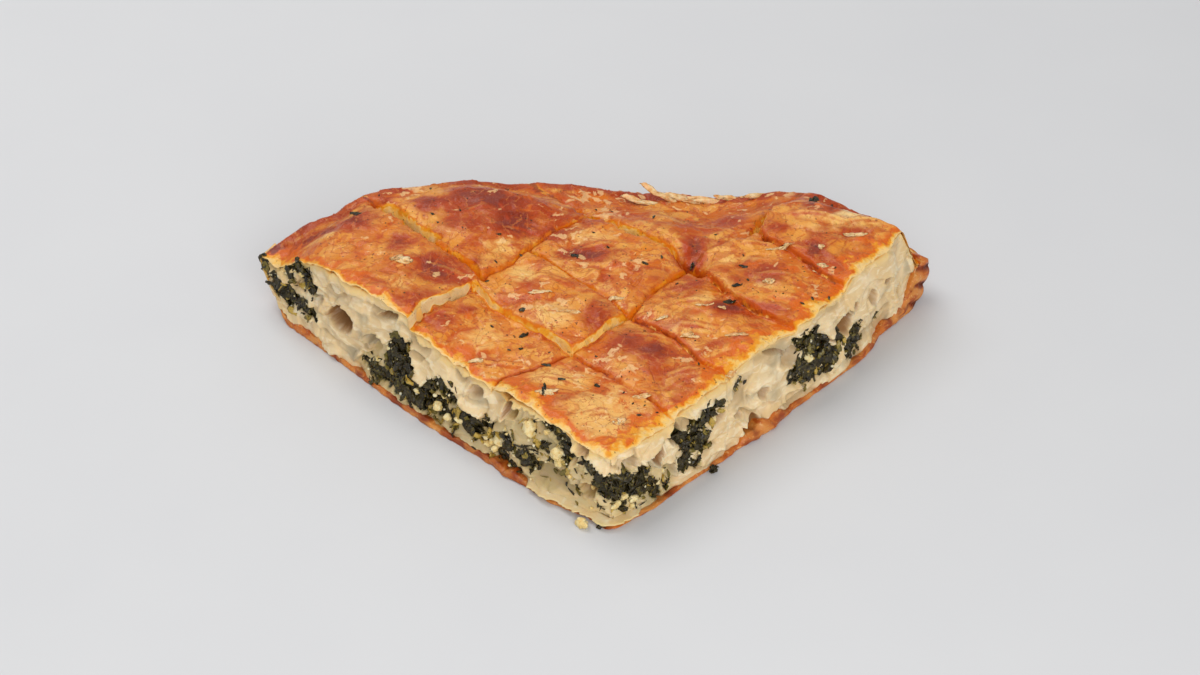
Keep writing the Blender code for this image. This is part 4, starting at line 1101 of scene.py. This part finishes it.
# Each lump: along the faces, height, how far out, and half its width and height.
LUMPS = (
    (-77.5, 6.5, -1, 1.5, 1.2), (-94, 9, -1, 1.3, 1), (-57.5, 6, -1, 1.8, 1.2),
    (-44.5, 13.5, -1.2, 1.4, 1.2), (-58, 15, -1.2, 1.3, 1.1), (-31, 24, -1, 1.2, 1),
    (-82.8, 8.4, -0.8, 1.8, 1.7), (-38.9, 22, -0.6, 2.4, 3.4), (-25.2, 18.2, -0.8, 2.2, 3),
    (-24.2, 15.6, -0.8, 1.6, 1.6), (-52.8, 9.4, -1, 2.3, 1.6), (-50.2, 15.4, -1.4, 1.6, 1.2),
    (-72.5, 8, -1.2, 1.6, 1.3), (-66, 9.8, -1.6, 1.2, 1), (-115, 10.8, -1.6, 1.6, 1.2),
    (-8, 1.5, 5.6, 2.3, 1.9), (-5, 9.6, -1.4, 1.2, 1), (3, 7.6, -1, 1.8, 1.3),
    (10.4, 6.8, -0.8, 1.9, 1.2), (6.6, 9.4, -0.9, 1.6, 1.1), (51, 17, -1.6, 2.2, 1.9),
    (99, 16.6, -0.2, 1.7, 1.6), (96, 19.6, -0.6, 1.8, 0.9), (96, 8.6, -1, 1.4, 1.1),
    (-168.6, 21.6, -1, 1, 1.3), (-159, 24, -1, 1.2, 1.1), (-163, 24, -1.2, 1, 0.9))

# White brine cheese, crumbled by hand and baked: moist and grainy, so it is soft in the light,
# pale yellow with ochre where it browned.
cheese, tree, shader, here = new_material("baked_white_brine_cheese", {
    "IOR": 1.42, "Subsurface Weight": 0.3, "Subsurface Radius": (1.0, 0.8, 0.5),
    "Subsurface Scale": 0.0015})
# Browner and paler places lie 3 mm apart. The grain of the curd is near 0.4, too fine to show,
# and is drawn at 0.9.
grain, soft = (add(tree, "TexNoise", {"Vector": here, "Scale": 1 / (size * MM), "Detail": 3})
               for size in (0.9, 3.0))
tint = add(tree, "Attribute", {}, "Fac", attribute_name="tint")
tone = painted(tree, "#EFDDA8", (
    ("#E4C47C", 1, soft, 1, 0, 0.4, 0.6),
    ("#C99A4F", 0.6, grain, 1, 0, 0.58, 0.68),
    ("#DCDAC4", 1, tint, 1, 0, 0, 1)))
finished(tree, shader, tone, (grain, 0.2, 0.4), ((grain, 1.0),), 0.5)

CURDS = crumpled(3, 7, (0.85, 0.85, 0.8), (0.26, 0.26, 0.26), 0.8)
scraps = []
for at_p, at_z, out, half_p, half_z in LUMPS:
    place = on_face(np.array([at_p]), np.array([at_z]), [out])[0]
    size = np.diag((1.2 * half_p, 1.2 * half_z, 1.2 * min(half_p, half_z)))
    matrix = frame_at(at_p) @ size @ turned(random.uniform(-3.1, 3.1), random.uniform(-3.1, 3.1), 0)
    scraps.append((random.randrange(len(CURDS)), place, matrix, 0.0))
scatter("cheese_lumps", cheese, ("spinach_filling",), 3, CURDS, scraps)

LOOSE_SPECKS = 70
SPECKS = crumpled(2, 5, (0.9, 0.9, 0.9), (0.3, 0.3, 0.3))
wanted = []
for at_p, at_z, half_p, half_z in CLUMPS:
    for k in range(int(0.07 * math.pi * half_p * half_z + random.random())):
        size = random.uniform(0.25, 0.65)
        wanted.append((
            at_p + random.uniform(-1, 1) * half_p, at_z + random.uniform(-0.9, 0.9) * half_z,
            random.uniform(0.9, 2.2), (size, size, size), random.uniform(0.0, 0.8)))
for k in range(LOOSE_SPECKS):
    place = in_filling(-112, 26, 2.2, 2)
    size = random.uniform(0.4, 1.4)
    wanted.append((*place, random.uniform(0.1, 0.7), (size, size, size),
                   random.choice((0.0, 0.0, 0.3))))
scatter("cheese_specks", cheese, ("spinach_filling",), 2, SPECKS,
        laid(wanted, len(SPECKS), 0.5))

# What lies on the crust: scraps of leaf that burst through and scorched black, and papery
# flakes of the top sheets that came loose, pale where the egg didn't reach.

# Seen from the front corner: the places of the larger scraps.
FLECKS = (
    (-42, 98), (-39, 108), (-30, 114), (-52, 135), (-62, 134), (-38, 123), (-40, 74), (-29, 81),
    (-29, 70), (-20, 60), (-21, 53), (-22, 37), (-11, 113), (1, 117), (-4, 127), (-6, 143),
    (-35, 153), (-63, 154), (-90, 136), (-82, 149), (-4, 57), (-4, 42), (3, 148), (-3, 149),
    (-34, 62), (-30, 62), (-60, 130), (-51, 125), (-68, 124), (20, 111), (32, 98), (25, 96),
    (49, 103), (46, 92), (49, 109), (50, 95), (13, 71), (31, 51), (5, 36), (10, 25), (16, 26),
    (12, 30), (70, 84), (76, 85), (80, 99), (76, 141), (83, 145), (100, 131), (98, 131), (94, 141),
    (88, 137), (2, 149), (-10, 112), (18, 140), (40, 126), (102, 130), (66, 81), (8, 31))
# The largest scraps: place, half the length and width, and which way they lie in degrees.
LARGE_FLECKS = (
    (-29, 81, 1.6, 1.2, 20), (-29, 70, 1.8, 1, 30), (-21, 53, 1.9, 0.9, -10),
    (-22, 36, 2.6, 0.9, 80), (-4, 41, 1.3, 0.8, -30), (31, 112, 2.6, 0.8, 70),
    (-11, 113, 1.4, 1, 0), (43, 85, 2.2, 1.2, 5), (49, 103, 2, 0.9, -25), (46, 92, 1.8, 0.9, 10),
    (14, 107, 1.6, 0.7, -30), (76, 142, 2.8, 2, 60), (-16, 43, 1.3, 0.7, 0),
    (101, 131, 2.4, 0.9, 0), (-90, 137, 2.2, 1, 0), (-6, 144, 2.8, 1.1, 10))
# Pale flakes: place, half the width and depth.
FLAKES = (
    (56, 92, 2.4, 2.8), (34, 82, 3, 1.3), (90, 117, 4.3, 1.6), (64, 112, 5.2, 1.3),
    (77, 110, 1.2, 1.6), (40, 80, 1.4, 1.7), (19, 76, 2.4, 1.6), (-19, 35, 4.6, 2),
    (3, 21, 2.6, 2), (-46, 54, 3.6, 2.2), (10, 34, 4.4, 1.8), (41, 45, 3.4, 1.8), (46, 65, 4, 1.5),
    (30, 66, 4, 1.7), (-73, 105, 4.4, 2.6), (-23, 90, 3.8, 2.2), (-14, 79, 3.8, 2.4),
    (75, 101, 2.6, 2), (4, 88, 2.6, 1.5), (-50, 157, 1.6, 1.3))


def on_lid(x, y):
    """The places on the lid over x, y from the front corner."""
    s, t = unplan(x, y)
    moved_s, moved_t = nudged(s, t)
    return settled(x, y, lid_top(2 * s - moved_s, 2 * t - moved_t, x, y))


# Besides the listed scraps there are dust-like ones all over, off the sloping rim.
DUST_COUNT, DUST_RADIUS = 300, 160
FLAT_LEAVES = crumpled(2, 9, (1.0, 0.75, 0.25), (0.5, 0.5, 0.28), 0.7)


def fleck(place, matrix, up, tints):
    kind = random.randrange(len(FLAT_LEAVES))
    return kind, place + (0, 0, up), matrix, random.choice(tints)


def spun(size, *shares):
    """The matrix of a scrap of that size, with these shares of it across, turned at random."""
    return turned(random.uniform(-3.1, 3.1), 0.2, 0.2) @ np.diag([share * size for share in shares])


scraps = [fleck(place, spun(random.uniform(0.35, 0.75), 1.3, 0.8, 0.7), 0.15, (0, 0, 0.2))
          for place in on_lid(*np.array(FLECKS, float).T)]
large = np.array(LARGE_FLECKS, float).T
for place, half_x, half_y, way in zip(on_lid(*large[:2]), *large[2:]):
    matrix = turned(math.radians(way), 0.1, 0.1) @ np.diag((half_x, half_y, 0.9))
    scraps.append(fleck(place, matrix, 0.2, (0, 0.2)))
dust = np.array([(random.uniform(4, 165), random.uniform(4, 160)) for k in range(DUST_COUNT)])
dust = dust @ np.stack((LEFT_WAY, RIGHT_WAY))
scraps += [fleck(place, spun(random.uniform(0.12, 0.32), 1.2, 0.9, 0.5), 0.05, (0, 0.2))
           for place in on_lid(*dust[np.hypot(*dust.T) < DUST_RADIUS].T)]
scatter("leaf_flecks_on_crust", leaf, ("pastry_top",), 2, FLAT_LEAVES, scraps)

# Loose filo, dry and thin as paper: pale where the egg didn't reach, matt, golden at its edges.
papery, tree, shader, here = new_material("loose_papery_filo_flake", {
    "IOR": 1.45, "Subsurface Weight": 0.15, "Subsurface Scale": 0.001})
# The flour's own mottling is near 0.5 mm, too fine to show, and is drawn at 2.
small = add(tree, "TexNoise", {"Vector": here, "Scale": 1 / (2 * MM), "Detail": 3})
tone = painted(tree, "#EBBE84", (
    ("#DC9C58", 1, small, 1, 0, 0.48, 0.64),
    ("#F1D3A4", 0.7, small, 1, 0, 0.45, 0.36)))
finished(tree, shader, tone, (small, 0.2, 0.35), ((small, 1.0),), 0.12)
THIN = crumpled(3, 8, (1.0, 0.8, 0.10), (0.50, 0.50, 0.02), 0.8)
CURLED = crumpled(3, 6, (1.3, 0.15, 0.010), (0.22, 0.16, 0.10), 0.9)
# Curled flakes that stand up at the back: place, half the length, how far up, way and tip.
BACK_FLAKES = (
    (14, 160, 6.5, 1.2, -14, 0.5), (20, 162, 6, 2.6, -30, 0.7), (28, 161, 6.5, 1, -16, 0.5),
    (38, 160, 6, 0.8, -4, 0.5), (47, 159, 5, 0.6, -8, 0.6), (57, 157, 5.5, 0.4, 4, 0.5))
# Each pale flake is two that lie down along the lid, and one end of each lifts off.
bm = copies(2 * len(FLAKES) + len(BACK_FLAKES), 3)[0]
places = []
for x, y, half_x, half_y in FLAKES:
    for k in range(2):
        flake = THIN[random.randrange(len(THIN))] @ turned(random.uniform(-0.5, 0.5), 0, 0).T
        over = flake * (half_x * random.uniform(0.4, 0.75), half_y * random.uniform(0.4, 0.75), 1)
        over = over + (x + random.uniform(-0.6, 0.6) * half_x,
                       y + random.uniform(-0.5, 0.5) * half_y, 0)
        lifted = 0.06 + 0.22 * np.clip(flake[:, 0] * random.choice((-1, 1)), 0, 2) ** 2
        places.append(on_lid(over[:, 0], over[:, 1]) + (over[:, 2] + lifted)[:, None] * (0, 0, 1))
for x, y, long, up, way, tip in BACK_FLAKES:
    flake = CURLED[random.randrange(len(CURLED))] @ turned(math.radians(way), tip, 0.1).T
    places.append(on_lid(np.array([x]), np.array([y])) + long * flake + (0, 0, up))
shape(bm, np.concatenate(places))
piece(bm, "papery_flakes", papery, ("pastry_top",))

# The stage: a plain pale floor and soft daylight from above and behind, from the left.

# Matt painted board: even and pale, and a little cloudy so that it isn't one flat colour.
floor_material, tree, shader, here = new_material("matt_painted_board", {"Roughness": 0.6})
clouds = add(tree, "TexNoise", {"Vector": here, "Scale": 1 / (60 * MM), "Detail": 2})
tone = painted(tree, "#CDCDCE", (("#D1D1D1", 1.0, clouds, 1, 0, 0.0, 1.0),))
tree.links.new(tone, shader.inputs["Base Color"])
bm = bmesh.new()
bmesh.ops.create_grid(bm, x_segments=8, y_segments=8, size=3)
mesh = bpy.data.meshes.new("floor")
bm.to_mesh(mesh)
bm.free()
floor = bpy.data.objects.new("floor", mesh)
bpy.context.scene.collection.objects.link(floor)
mesh.materials.append(floor_material)

world = bpy.data.worlds.new("soft_room_light")
bpy.context.scene.world = world
world.use_nodes = True
background = world.node_tree.nodes["Background"]
background.inputs["Color"].default_value = colour("#F4F5F7")
background.inputs["Strength"].default_value = 0.54
for name, place, size, power in (("window", (-0.42, 0.50, 1.15), 0.9, 9.0),
                                 ("reflector", (0.25, -1.0, 0.55), 0.8, 7.5)):
    light = bpy.data.lights.new(name, "AREA")
    light.size = size
    light.energy = power
    lamp = bpy.data.objects.new(name, light)
    lamp.location = place
    lamp.rotation_euler = (-Vector(place)).to_track_quat("-Z", "Y").to_euler()
    bpy.context.scene.collection.objects.link(lamp)
bpy.context.scene.view_settings.view_transform = "Standard"

# The camera looks down on the front corner from 37 degrees above the floor, a little askew.
CAMERA_PLACE = Vector((0.0024, -0.9375, 0.7325))
LOOK_DOWN = math.radians(37.36)
TILT = math.radians(-1.28)
camera_data = bpy.data.cameras.new("camera")
camera_data.sensor_width = 36
camera_data.lens = 100.38
camera_data.clip_end = 20
camera = bpy.data.objects.new("camera", camera_data)
forward = Vector((0, math.cos(LOOK_DOWN), -math.sin(LOOK_DOWN)))
upright = (-forward).cross(Vector((1, 0, 0)))
right = Vector((1, 0, 0)) * math.cos(TILT) + upright * math.sin(TILT)
turned_up = (-forward).cross(right)
facing_way = Matrix((right, turned_up, -forward)).transposed().to_4x4()
camera.matrix_world = Matrix.Translation(CAMERA_PLACE) @ facing_way
bpy.context.scene.collection.objects.link(camera)
bpy.context.scene.camera = camera
